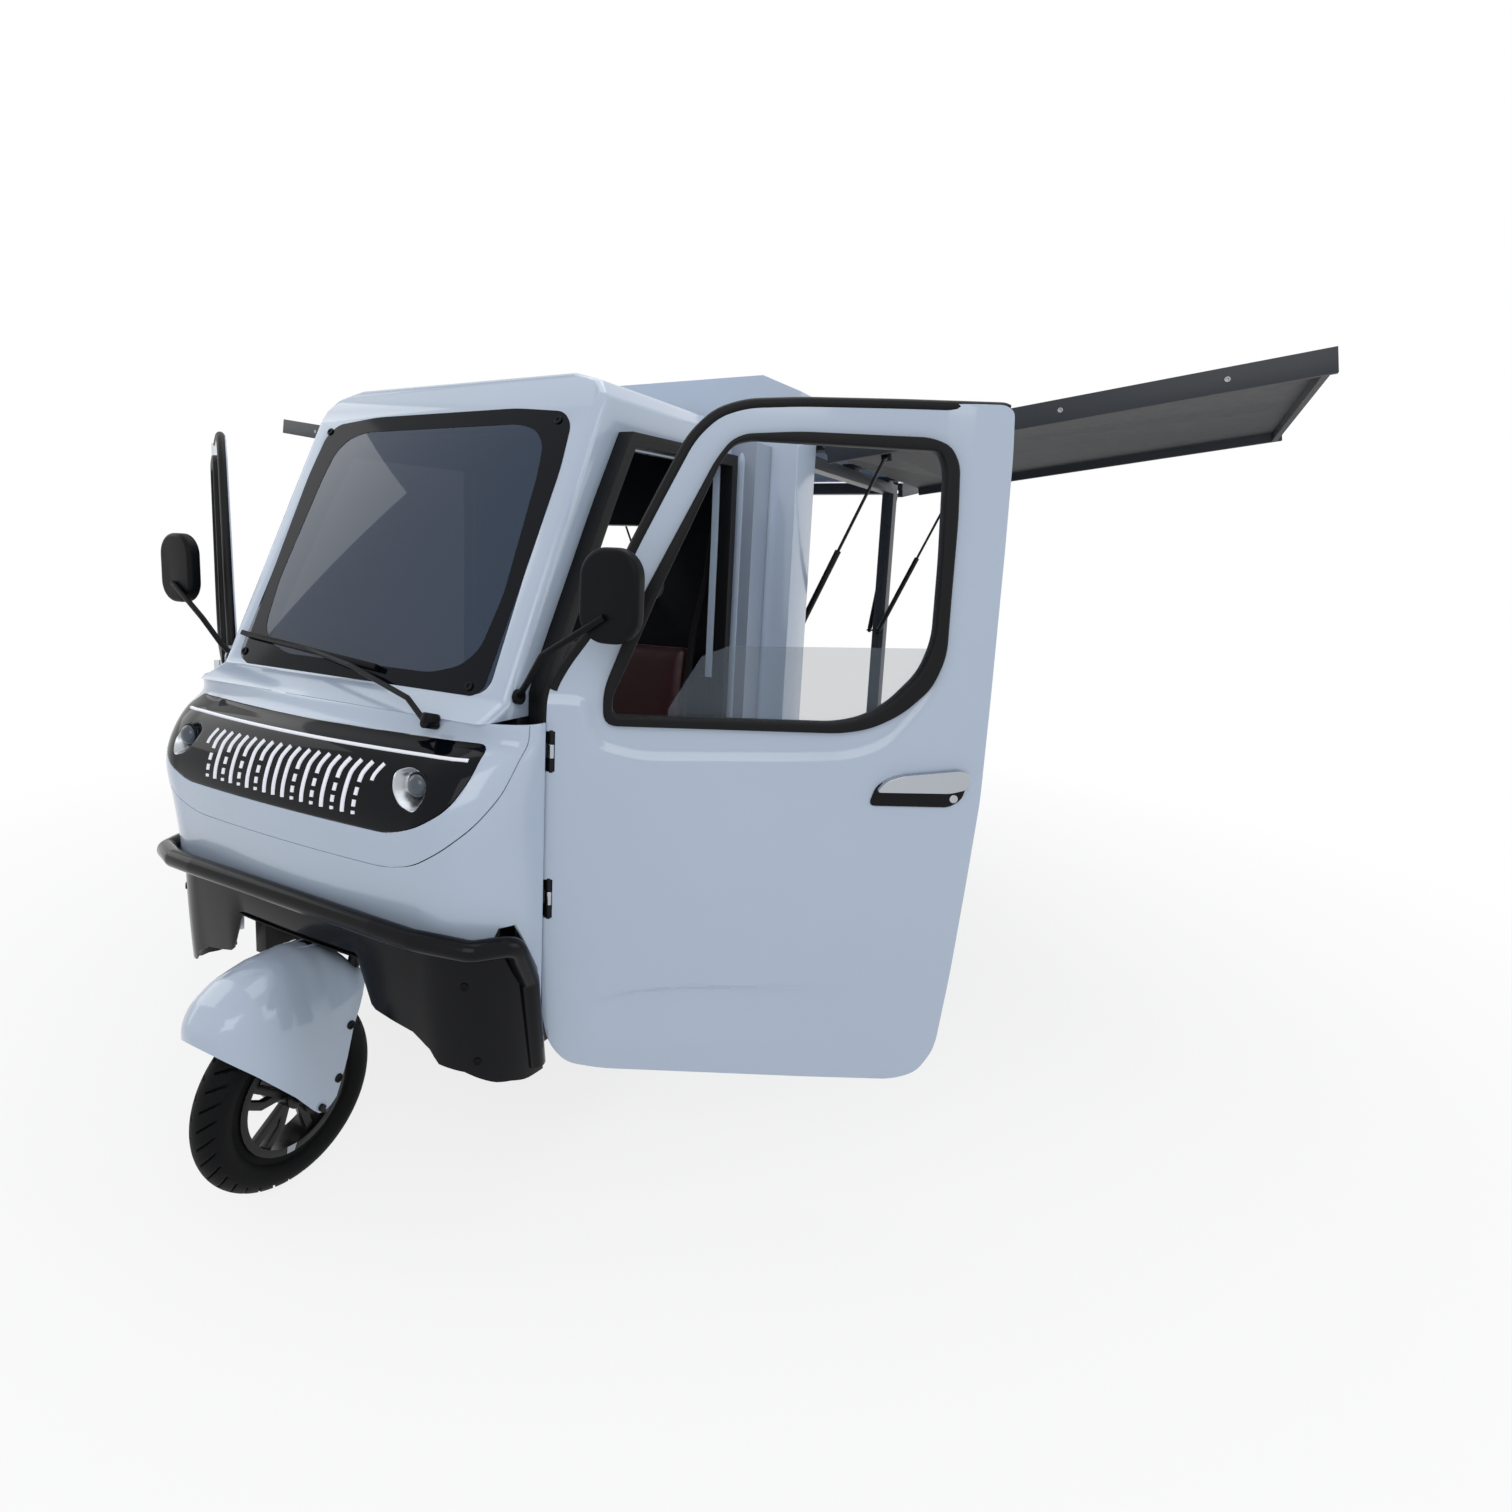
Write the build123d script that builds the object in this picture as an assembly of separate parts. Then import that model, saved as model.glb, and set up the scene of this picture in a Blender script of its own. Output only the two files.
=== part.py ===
from build123d import *
import os
from math import atan2, cos, degrees, hypot, radians, sin

# An enclosed electric cargo tricycle with two side doors, two lifting side flaps and a rear hatch.
# Millimetres. The vehicle faces -Y, +X is its left side, +Z is up and the ground is z = 0.
# It is drawn with y = 0 at the front axle, and moved at the end so that y = 0 is mid length.

# Wheels
FRONT_TYRE_R = 216
FRONT_TYRE_HALF = 46
REAR_TYRE_R = 225
REAR_TYRE_HALF = 52
RIM_R = 127
RIM_HALF = 36
RIM_LIP = 7
SPOKE_COUNT = 5
WHEELBASE = 2000
REAR_TRACK_HALF = 470
AXLE_R = 8
SHAFT_GAP = 0.06
SEAT_GAP = 0.3

# Steering
RAKE = 18
STEER_Y = 160
STEER_Z = 550
FORK_LEG_X = 84
FORK_LEG_R = 20
FORK_LEG_BACK = 31
SPACER_R = 13
GUARD_HALF = 118
GUARD_WALL = 4
HEAD_LOW = 600
HEAD_HIGH = 800
HEAD_R = 30
STEM_R = 16
BAR_Z = 1065
BAR_HALF = 320

BUMPER_R = 22

# Cab
CAB_HALF = 473
CAB_WALL = 20
CAB_BASE_Z = 1104
SCREEN_BASE = (187, 1130)
SCREEN_TOP = (495, 1780)
SCREEN_HALF = 420
GLASS = 5
COWL_LIP_Y = 120
CAB_ROUND = 20
ROOF_Z = 1915
ROOF_SIDE_Z = 1838
CAB_BACK = 1250
SEAT_Z = 700
DOWN_TUBE_R = 16
TOW_X = 100
TOW_Z = 332.5
TOW_HIGH = 14
TOW_HOLE_R = 5.5
RAIL_LOW = 300
RAIL_Z = 360
RAIL_X = 300
FLOOR_Z = 378
PILLAR_Y = 1176
BODY_HALF = 552
NOSE_BACK = 228
NOSE_WALL = 6
NOSE_LOW = 646
NOSE_FLAT = 380
NOSE_SECTIONS = [
    # height, front, where the side starts, bow of the front
    (300, 30, 201, 15),
    (690, 18, 201, 15),
    (816, 4, 190, 15),
    (895, -8, 180, 15),
    (940, -4, 180, 16),
    (994, 18, 190, 20),
    (1035, 50, 205, 25),
    (1065, 95, 215, 30),
    (CAB_BASE_Z - 0.5, 119, 222, 6),
]
LIGHT_STEP = 30.3
LIGHT_WIDE = 9
LIGHT_PROUD = 2.5
HEADLAMP = (368, 976)
HEADLAMP_R = 40
PANEL_GAP = 0.8

# Doors
HINGE_X = 544
HINGE_Y = 253
DOOR_OPEN = 58.5
DOOR_OUT = 8
DOOR_IN = 24
DOOR_LIFT = 6
WINDOW_ROUND = 30
HINGE_ZS = (719, 1040)
HINGE_HALF = 45
PIN_R = 5
KNUCKLE_R = 9

# Load box
BOX_FRONT = 1285
BOX_BACK = 2640
BOX_HALF = 636
BOX_ROOF_Z = 2000
BOX_WALL = 20
DECK_Z = 515
DECK = 25
POST_OUT = 578
POST_WIDE = 48
REAR_POST = (2525, 2580)
FRONT_POST = (1440, 1490)
RAIL_TOP = 1800
RAIL_HIGH = 40
HINGE_PLATE_TOP = 1822
FLAP_AXIS_X = 645
FLAP_AXIS_Z = 1815
HATCH_AXIS_Y = 2650
FLAP_LONG = 1280
HATCH_LONG = 1100
FLAP_RAISED = 8.4
FLAP_THICK = 30
FLAP_EDGE = 60
FLAP_START = 14
FLAP_Y = (1440, 2585)
HATCH_HALF = 575
LATCH_OUT = 2
LATCH_LOW = 40
SILL_Z = 705
HINGE_RUN = 60
HINGE_R = 8
BEARER_YS = (1400, 1700, 2290, 2490)

# Gas struts
STRUT_FOOT_IN = 85
STRUT_FOOT_Z = 1175
STRUT_ALONG = 180
STRUT_BELOW = 62
STRUT_TUBE_R = 10
STRUT_ROD_R = 5
STRUT_TUBE_LONG = 350
STRUT_ROD_LONG = 345
STRUT_FRONT_Y = 1505
STRUT_REAR_Y = 2505
STRUT_HATCH_X = 505
STUD_R = 4

FRONT_REACH = -FRONT_TYRE_R - 2
REAR_REACH = (
    HATCH_AXIS_Y
    + (HATCH_LONG + LATCH_OUT) * cos(radians(FLAP_RAISED))
    + LATCH_LOW * sin(radians(FLAP_RAISED))
)
FRAME_Y = (FRONT_REACH + REAR_REACH) / 2

# Mirror head: width, depth and height
MIRROR_HEAD = (136, 36, 184)

# Cab rear window, door seal and door outlines
REAR_WINDOW = [(-240, 1320), (240, 1320), (240, 1550), (-240, 1550)]
SEAL_OUT = 24
SEAL_IN = 56
SEAL_PROUD = 40

# The door's outline: distance behind the hinge line, and height
DOOR_EDGE = [
    (-15, 480),
    (6, 385),
    (46, 338),
    (120, 326),
    (771, 315),
    (852, 372),
    (882, 562),
    (914, 962),
    (914, 1500),
    (908, 1772),
    (310, 1757),
    (206, 1580),
    (12, 1222),
    (-15, 1160),
]
STEP_LINE = [
    (850, 1771),
    (838, 1270),
    (760, 1130),
    (690, 1066),
    (600, 1048),
    (185, 1033),
    (100, 1056),
    (74, 1090),
    (74, 1160),
    (0, 1160),
    (-15, 1130),
]
WINDOW_SEAL = [
    (106, 1098),
    (603, 1098),
    (727, 1141),
    (813, 1250),
    (812, 1547),
    (800, 1702),
    (371, 1700),
    (314, 1643),
    (104, 1180),
]
WINDOW_HOLE = [
    (126, 1120),
    (600, 1122),
    (700, 1160),
    (786, 1262),
    (784, 1500),
    (776, 1682),
    (383, 1680),
    (328, 1640),
    (128, 1185),
]


def outline(points, radius=0):
    """A flat face bounded by straight runs, with its corners rounded where a radius is given."""
    if radius:
        return make_face(FilletPolyline(*points, radius=radius, close=True))
    return make_face(Polyline(*points, close=True))


def side_plate(face, x0, x1):
    """A face drawn in (y, z), carried from x0 to x1."""
    plane = Plane(origin=(x0, 0, 0), x_dir=(0, 1, 0), z_dir=(1, 0, 0))
    return extrude(plane * face, amount=x1 - x0, dir=(1, 0, 0))


def front_plate(face, y0, y1):
    """A face drawn in (x, z), carried from y0 to y1."""
    plane = Plane(origin=(0, y0, 0), x_dir=(1, 0, 0), z_dir=(0, -1, 0))
    return extrude(plane * face, amount=y1 - y0, dir=(0, 1, 0))


def plan_plate(face, z0, z1):
    """A face drawn in (x, y), carried from z0 to z1."""
    return extrude(Pos(0, 0, z0) * face, amount=z1 - z0, dir=(0, 0, 1))


def block(x0, x1, y0, y1, z0, z1):
    return Pos((x0 + x1) / 2, (y0 + y1) / 2, (z0 + z1) / 2) * Box(x1 - x0, y1 - y0, z1 - z0)


def rod(start, end, radius):
    axis = Vector(*end) - Vector(*start)
    plane = Plane(origin=start, z_dir=axis.normalized())
    return extrude(plane * Circle(radius), amount=axis.length, dir=axis.normalized())


def pipe(points, radius, bend):
    """A round tube along straight runs joined by bends."""
    path = FilletPolyline(*points, radius=bend)
    return sweep(Plane(origin=path @ 0, z_dir=path % 0) * Circle(radius), path=path)


def both_sides(shape):
    return [shape, mirror(shape, Plane.YZ)]


def joined(pieces):
    whole = pieces[0]
    for piece in pieces[1:]:
        whole = whole + piece
    return whole


# Wheels, each drawn about the X axis and then moved to its axle

def tyre(radius, half):
    bead = RIM_HALF - 6
    bead_r = RIM_R + RIM_LIP + 14
    shoulder = half * 0.74
    wall_r = (radius + RIM_R) / 2
    section = make_face(
        [
            Line((-bead, RIM_R + SEAT_GAP), (-bead, bead_r)),
            ThreePointArc((-bead, bead_r), (-half, wall_r + 4), (-shoulder, radius - 14)),
            ThreePointArc((-shoulder, radius - 14), (0, radius), (shoulder, radius - 14)),
            ThreePointArc((shoulder, radius - 14), (half, wall_r + 4), (bead, bead_r)),
            Line((bead, bead_r), (bead, RIM_R + SEAT_GAP)),
            Line((bead, RIM_R + SEAT_GAP), (-bead, RIM_R + SEAT_GAP)),
        ]
    )
    return revolve(section, axis=Axis.X)


def rim(hub_in, hub_out):
    """An alloy wheel: barrel with two lips, hub, and pairs of spokes near its outer face."""
    bead = RIM_HALF - 6 + SEAT_GAP
    barrel = make_face(
        Polyline(
            (-RIM_HALF, RIM_R - 9),
            (-RIM_HALF, RIM_R + RIM_LIP),
            (-bead, RIM_R + RIM_LIP),
            (-bead, RIM_R),
            (bead, RIM_R),
            (bead, RIM_R + RIM_LIP),
            (RIM_HALF, RIM_R + RIM_LIP),
            (RIM_HALF, RIM_R - 9),
            close=True,
        )
    )
    wheel = revolve(barrel, axis=Axis.X)
    hub = make_face(
        Polyline((hub_in, AXLE_R + SHAFT_GAP), (hub_in, 34), (hub_out, 28), (hub_out, AXLE_R + SHAFT_GAP), close=True)
    )
    wheel = wheel + revolve(hub, axis=Axis.X)
    spoke = side_plate(
        outline([(-9, 24), (-24, 74), (-13, RIM_R - 4), (4, RIM_R - 4), (-6, 74), (9, 24)]), 8, 24
    )
    other = side_plate(
        outline([(-9, 24), (8, 74), (24, RIM_R - 4), (40, RIM_R - 11), (26, 74), (9, 24)]), 8, 24
    )
    for turn in range(SPOKE_COUNT):
        wheel = wheel + Rot(turn * 360 / SPOKE_COUNT, 0, 0) * (spoke + other)
    return wheel


# Steering: everything is drawn upright about the steering axis, then laid back by the rake

def on_steer(shape):
    return Pos(0, STEER_Y, STEER_Z) * Rot(-RAKE, 0, 0) * shape


def steer_point(z):
    """The place of the steering axis at height z."""
    return (0, STEER_Y + (z - STEER_Z) * sin(radians(RAKE)) / cos(radians(RAKE)), z)


def steer_local(y, z):
    """A side-view point as (forward offset, height) along the steering axis."""
    dy = y - STEER_Y
    dz = z - STEER_Z
    return (dy * cos(radians(RAKE)) - dz * sin(radians(RAKE)), dy * sin(radians(RAKE)) + dz * cos(radians(RAKE)))


def fork_legs(radius):
    """The lower legs, drawn about the steering axis."""
    axle_off, axle_high = steer_local(0, FRONT_TYRE_R)
    leg_off = axle_off + FORK_LEG_BACK
    return [rod((x, leg_off, axle_high - 24), (x, leg_off, axle_high + 190), radius) for x in (-FORK_LEG_X, FORK_LEG_X)]


def steering():
    """Steering stem, yoke, the two legs with their axle lugs, and the axle with its nuts."""
    axle_off, axle_high = steer_local(0, FRONT_TYRE_R)
    leg_off = axle_off + FORK_LEG_BACK
    yoke_top = 26
    parts = fork_legs(FORK_LEG_R)
    parts.append(block(-FORK_LEG_X - 24, FORK_LEG_X + 24, leg_off - 24, 34, 0, yoke_top))
    for x in (-FORK_LEG_X, FORK_LEG_X):
        parts.append(rod((x, leg_off, axle_high + 150), (x, leg_off, yoke_top + 6), FORK_LEG_R - 6))
        parts.append(block(x - 12, x + 12, axle_off - 4, leg_off, axle_high - 20, axle_high + 20))
        parts.append(rod((x - 12, axle_off, axle_high), (x + 12, axle_off, axle_high), 20))
    reach = FORK_LEG_X + 44
    parts.append(rod((-reach, axle_off, axle_high), (reach, axle_off, axle_high), AXLE_R))
    for side in (-1, 1):
        parts.append(rod((side * 46.6, axle_off, axle_high), (side * FORK_LEG_X, axle_off, axle_high), SPACER_R))
        parts.append(rod((side * FORK_LEG_X, axle_off, axle_high), (side * (reach - 8), axle_off, axle_high), SPACER_R))
        for up in (48, 164):
            bolt = (side * FORK_LEG_X, leg_off, axle_high + up)
            parts.append(rod(bolt, (side * (GUARD_HALF - GUARD_WALL - SEAT_GAP), leg_off, axle_high + up), 8))
    parts.append(rod((0, 0, 0), (0, 0, bar_height()), STEM_R))
    return on_steer(joined(parts))


def bar_height():
    """How far up the steering axis the handlebar clamp sits."""
    return steer_local(*steer_point(BAR_Z)[1:])[1]


def handlebar():
    low = bar_height()
    clamp = block(-34, 34, -24, 24, low, low + 36)
    grips = [
        (-BAR_HALF - 10, 120, low + 40),
        (-BAR_HALF + 110, 60, low + 50),
        (-110, 0, low + 20),
        (110, 0, low + 20),
        (BAR_HALF - 110, 60, low + 50),
        (BAR_HALF + 10, 120, low + 40),
    ]
    bar = pipe(grips, 11, 30)
    for side in (-1, 1):
        start = (side * (BAR_HALF - 100), 65, low + 49)
        bar = bar + rod(start, (side * (BAR_HALF + 8), 119, low + 40), 17)
    return on_steer(clamp + bar)


def mudguard():
    """The front mudguard: a bullet-shaped shell, open below and behind, notched round the legs."""

    def form(inset, drop):
        side = make_face(
            [
                ThreePointArc((-216 + inset, 440 - drop), (-95, 530 - inset), (30, 550 - inset)),
                ThreePointArc((30, 550 - inset), (112, 520 - inset), (138 + 3 * drop, 452 - inset)),
                Line((138 + 3 * drop, 452 - inset), (150 + 3 * drop, 390)),
                Line((150 + 3 * drop, 390), (100 + 3 * drop, 260)),
                Line((100 + 3 * drop, 260), (50 + drop, 190 - 6 * drop)),
                Line((50 + drop, 190 - 6 * drop), (5, 190 - 6 * drop)),
                Line((5, 190 - 6 * drop), (-140, 352 - 6 * drop)),
                Line((-140, 352 - 6 * drop), (-216 + inset, 440 - drop)),
            ]
        )
        half = GUARD_HALF - inset
        front = make_face(
            [
                Line((-half, 100), (-half, 400)),
                ThreePointArc((-half, 400), (0, 552 - inset), (half, 400)),
                Line((half, 400), (half, 100)),
                Line((half, 100), (-half, 100)),
            ]
        )
        plan = make_face(
            [
                ThreePointArc((-half, -60), (0, -217 + inset), (half, -60)),
                Line((half, -60), (half, 400)),
                Line((half, 400), (-half, 400)),
                Line((-half, 400), (-half, -60)),
            ]
        )
        return side_plate(side, -half, half) & front_plate(front, -300, 400) & plan_plate(plan, 0, 700)

    guard = form(0, 0) - form(GUARD_WALL, 12)
    for leg in fork_legs(FORK_LEG_R + SEAT_GAP):
        guard = guard - on_steer(leg)
    leg_off, axle_high = steer_local(0, FRONT_TYRE_R)
    axle = rod((-200, leg_off, axle_high), (200, leg_off, axle_high), SPACER_R + SEAT_GAP)
    guard = guard - on_steer(axle)
    for x in (-FORK_LEG_X, FORK_LEG_X):
        stay = rod((x, leg_off + FORK_LEG_BACK, axle_high), (x, leg_off + FORK_LEG_BACK, 40), FORK_LEG_R - 6 + SEAT_GAP)
        guard = guard - on_steer(stay)
    return guard


# Cab

def screen_plane():
    """A plane on the windscreen's outer face, its x along the vehicle's X and its y up the glass."""
    dy = SCREEN_TOP[0] - SCREEN_BASE[0]
    dz = SCREEN_TOP[1] - SCREEN_BASE[1]
    length = hypot(dy, dz)
    return Plane(origin=(0, SCREEN_BASE[0], SCREEN_BASE[1]), x_dir=(1, 0, 0), z_dir=(0, -dz / length, dy / length))


def screen_outline(inset):
    low = 20 + inset
    high = 690 - inset
    half = SCREEN_HALF - inset
    return outline([(-half, low), (half, low), (half - 11, high), (11 - half, high)], 40)


def cab_form(inset):
    """The closed outer form of the upper cab, or its inner form at a wall's depth."""
    side = outline(
        [
            (COWL_LIP_Y + inset * 1.1, CAB_BASE_Z - 2 * inset),
            (SCREEN_BASE[0] + 5 + inset * 1.1, SCREEN_BASE[1] + 11),
            (SCREEN_TOP[0] + inset * 1.1, SCREEN_TOP[1]),
            (552 + inset, 1868 - inset),
            (790, ROOF_Z - inset),
            (1120, ROOF_Z - inset),
            (CAB_BACK + 2 * inset, 1893 - inset),
            (CAB_BACK + 2 * inset, CAB_BASE_Z - 2 * inset),
        ]
    )
    half = CAB_HALF - inset
    front = make_face(
        [
            Line((-half, 900), (-half, ROOF_SIDE_Z - 30)),
            Line((-half, ROOF_SIDE_Z - 30), (30 - half, ROOF_SIDE_Z + 8 - inset)),
            ThreePointArc((30 - half, ROOF_SIDE_Z + 8 - inset), (0, ROOF_Z - inset), (half - 30, ROOF_SIDE_Z + 8 - inset)),
            Line((half - 30, ROOF_SIDE_Z + 8 - inset), (half, ROOF_SIDE_Z - 30)),
            Line((half, ROOF_SIDE_Z - 30), (half, 900)),
            Line((half, 900), (-half, 900)),
        ]
    )
    return side_plate(side, -half, half) & front_plate(front, 0, 1400)


def opening_face(inset):
    """The door opening in (y, z), a set distance inside the door's outline."""
    face = outline([(HINGE_Y + s, z) for s, z in DOOR_EDGE])
    return offset(face, amount=-inset, kind=Kind.INTERSECTION)


def cab_shell():
    outside = cab_form(0)
    base = outside.edges().filter_by_position(Axis.Z, CAB_BASE_Z - 1, CAB_BASE_Z + 1)
    outside = fillet([edge for edge in outside.edges() if edge not in base], CAB_ROUND)
    shell = outside - cab_form(CAB_WALL)
    shell = shell - block(-600, 600, 0, 1400, 0, CAB_BASE_Z)
    shell = shell - block(-600, 600, CAB_BACK, 1500, 0, 2100)
    shell = shell - side_plate(opening_face(SEAL_IN + 4), -600, 600)
    plane = screen_plane()
    shell = shell - extrude(plane * screen_outline(-SEAT_GAP), amount=-(GLASS + SEAT_GAP))
    shell = shell - extrude(plane * screen_outline(-SEAT_GAP), amount=2 * GLASS)
    shell = shell - extrude(plane * screen_outline(26), amount=-80)
    return shell


def windscreen():
    return extrude(screen_plane() * screen_outline(0), amount=-GLASS)


def cab_back():
    """The cab's rear wall with its window, and the door post and pillar on each side."""
    front = CAB_BACK - 40
    back = CAB_BACK - 20
    wall = block(-600, 600, front, back, CAB_BASE_Z, 2000) & cab_form(CAB_WALL + SEAT_GAP)
    half = CAB_HALF - CAB_WALL - SEAT_GAP
    wall = wall + block(-half, half, front, back, FLOOR_Z, CAB_BASE_Z + 1)
    wall = wall - front_plate(outline(REAR_WINDOW, 40), 0, 1400)
    for side in (-1, 1):
        outer = sorted((side * (CAB_HALF + SEAT_GAP), side * BODY_HALF))
        inner = sorted((side * (CAB_HALF - 43), side * CAB_HALF))
        wall = wall + block(inner[0], inner[1], 1105, back, RAIL_Z + 18, CAB_BASE_Z - SEAT_GAP)
        wall = wall + block(outer[0], outer[1], PILLAR_Y, CAB_BACK + 30, RAIL_Z, 1790)
        tie = sorted((side * (CAB_HALF - 2), side * (CAB_HALF + 2)))
        wall = wall + block(tie[0], tie[1], PILLAR_Y + 4, back, RAIL_Z + 18, CAB_BASE_Z - SEAT_GAP)
    return wall


def nose_section(height, front, side, bow, inset):
    """The nose's outline at one height: a shallow bow in front and a rounded corner at each side."""
    half = BODY_HALF - 2 - inset
    start = NOSE_FLAT - inset
    front = front + inset
    across = half - start
    mid = (start + 0.707 * across, side - 0.707 * (side - front - bow))
    face = make_face(
        [
            ThreePointArc((-start, front + bow), (0, front), (start, front + bow)),
            ThreePointArc((start, front + bow), mid, (half, side)),
            Line((half, side), (half, NOSE_BACK + 60)),
            Line((half, NOSE_BACK + 60), (-half, NOSE_BACK + 60)),
            Line((-half, NOSE_BACK + 60), (-half, side)),
            ThreePointArc((-half, side), (-mid[0], mid[1]), (-start, front + bow)),
        ]
    )
    return Pos(0, 0, height) * face


def nose_form(inset):
    """The closed outer form of the nose, from its outlines at rising heights."""
    faces = [nose_section(height, front, side, bow, inset) for height, front, side, bow in NOSE_SECTIONS]
    return joined([loft([low, high], ruled=True) for low, high in zip(faces, faces[1:])])


def nose_skin():
    skin = nose_form(0) - nose_form(NOSE_WALL)
    return skin - block(-600, 600, NOSE_BACK, 600, 0, 1300)


def mirrored_face(half, grow):
    """A front-view area from its right half's points, top centre to bottom centre."""
    face = outline(half + [(-x, z) for x, z in reversed(half)])
    return offset(face, amount=grow, kind=Kind.INTERSECTION) if grow else face


def seam_face(grow):
    """The front-view area inside the curved seam of the nose's upper panel."""
    return mirrored_face(
        [(538, 1200), (536, 1030), (530, 970), (505, 916), (456, 868), (385, 824), (310, 808)], grow
    )


def lamp_face(grow):
    """The front-view area of the lamp band."""
    return mirrored_face([(478, 1062), (485, 1010), (464, 950), (410, 912), (335, 886)], grow)


def nose_upper():
    skin = nose_skin() & front_plate(seam_face(0), -60, 400)
    return skin - front_plate(lamp_face(SEAT_GAP), -60, 400)


def lamp_panel():
    return nose_skin() & front_plate(lamp_face(0), -60, 400)


def nose_lower():
    """The lower nose and both side panels, cut back where the bumper runs down beside the door."""
    skin = nose_skin()
    for side in (-1, 1):
        flange = sorted((side * (CAB_HALF - 20), side * (BODY_HALF - 5)))
        skin = skin + block(flange[0], flange[1], NOSE_BACK - NOSE_WALL, NOSE_BACK, 250, CAB_BASE_Z - 0.5)
    skin = skin - front_plate(seam_face(PANEL_GAP), -60, NOSE_BACK - NOSE_WALL)
    leg_line = [(-50, 200), (-50, NOSE_LOW), (96, NOSE_LOW), (116, 694), (150, 694), (214, 575), (228, 480), (228, 200)]
    return skin - side_plate(outline(leg_line), -600, 600)


def lamp_lights():
    """Light bars on the lamp band, a long strip along its top, and a round lamp at each end."""
    layer = nose_form(-LIGHT_PROUD) - nose_form(-0.05)
    half = LIGHT_WIDE / 2
    bars = []
    for index in range(-8, 9):
        x = index * LIGHT_STEP
        bars.append(
            outline(
                [
                    (x - half, 911),
                    (x + half, 911),
                    (x + half, 990),
                    (x + half + 12, 1010),
                    (x + half + 4, 1016),
                    (x - half, 995),
                ]
            )
        )
    bars.append(outline([(-440, 1033), (462, 1033), (462, 1038), (-440, 1038)]))
    parts = [layer & front_plate(bar, -50, 150) for bar in bars]
    for side in (-1, 1):
        lens = front_plate(Pos(side * HEADLAMP[0], HEADLAMP[1]) * Circle(HEADLAMP_R), -50, 150)
        parts.append((nose_form(-8) - nose_form(-0.05)) & lens)
    return parts


def bumper():
    """The black roll across the nose, round its corners and down beside each door."""
    half_path = [
        (BODY_HALF - 12, 222, 352),
        (BODY_HALF - 8, 190, 560),
        (BODY_HALF + 8, 125, 664),
        (515, 48, 668),
        (400, 3, 680),
        (300, -4.1, 684),
    ]
    path = half_path + [(-x, y, z) for x, y, z in reversed(half_path)]
    return pipe(path, BUMPER_R, 40)


def arch_panels():
    """The black apron under the bumper, its underside, and the swept panel beside the front wheel."""
    plan = make_face(
        [
            ThreePointArc((-380, 16), (0, 2), (380, 16)),
            Line((380, 16), (470, 62)),
            Line((470, 62), (466, 70)),
            Line((466, 70), (378, 24)),
            ThreePointArc((378, 24), (0, 10), (-378, 24)),
            Line((-378, 24), (-466, 70)),
            Line((-466, 70), (-470, 62)),
            Line((-470, 62), (-380, 16)),
        ]
    )
    panels = plan_plate(plan, 575, NOSE_LOW - 0.5)
    corner = Plane(origin=(300, 85, 560), x_dir=(0.88, 0.47, 0), z_dir=(0.45, -0.84, -0.3))
    for side in (-1, 1):
        swept = extrude(corner * outline([(0, 18), (0, 0), (45, -240), (130, -262), (222, -232), (222, 18)]), amount=6)
        shelf = plan_plate(outline([(296, 14), (380, 17), (468, 64), (508, 120), (500, 194), (300, 90)]), 575, 579)
        pair = swept + shelf
        panels = panels + (pair if side > 0 else mirror(pair, Plane.YZ))
    return panels


def door_seal():
    """The rubber seal round one door opening."""
    ring = opening_face(SEAL_OUT) - opening_face(SEAL_IN)
    return side_plate(ring, CAB_HALF + SEAT_GAP, CAB_HALF + SEAL_PROUD)


def floor_pan():
    """The cab floor, its upright front wall behind the wheel, and the seat box."""
    pan = side_plate(
        outline(
            [
                (330, 602),
                (352, 560),
                (392, RAIL_Z),
                (CAB_BACK - 20, RAIL_Z),
                (CAB_BACK - 20, FLOOR_Z),
                (406, FLOOR_Z),
                (366, 566),
                (343, 608),
            ]
        ),
        -CAB_HALF + 1,
        CAB_HALF - 1,
    )
    box_half = CAB_HALF - 73
    seat_box = block(-box_half, box_half, 640, 1180, FLOOR_Z - 5, SEAT_Z)
    seat_box = seat_box - block(15 - box_half, box_half - 15, 655, 1165, FLOOR_Z - 2, SEAT_Z - 15)
    for side in (-1, 1):
        pan = pan - rod(*down_tube(side), DOWN_TUBE_R + SEAT_GAP)
        post = sorted((side * (CAB_HALF - 44), side * CAB_HALF))
        pan = pan - block(post[0], post[1], 300, 322, RAIL_Z, 700)
    return pan + seat_box


def dash():
    """The dashboard moulding, open in its middle for the steering stem."""
    body = outline([(262, 900), (262, 1020), (300, 1045), (400, 1045), (430, 1010), (400, 940), (330, 880)])
    half = CAB_HALF - 43 - SEAT_GAP
    return side_plate(body, -half, half) - block(-42, 42, 230, 364, 850, 1100)


def seat():
    half = CAB_HALF - 83
    cushion = block(-half, half, 640, 1080, SEAT_Z + SEAT_GAP, SEAT_Z + 100)
    back = Pos(0, 1120, SEAT_Z + 292.5) * Rot(-8, 0, 0) * Box(2 * half, 90, 400)
    return [cushion, back]


# Chassis

def down_tube(side):
    """Ends of the tube that rises from a rail's front end behind the wheel."""
    return (side * RAIL_X, 440, 330), (side * RAIL_X / 2, 372, 620)


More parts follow.
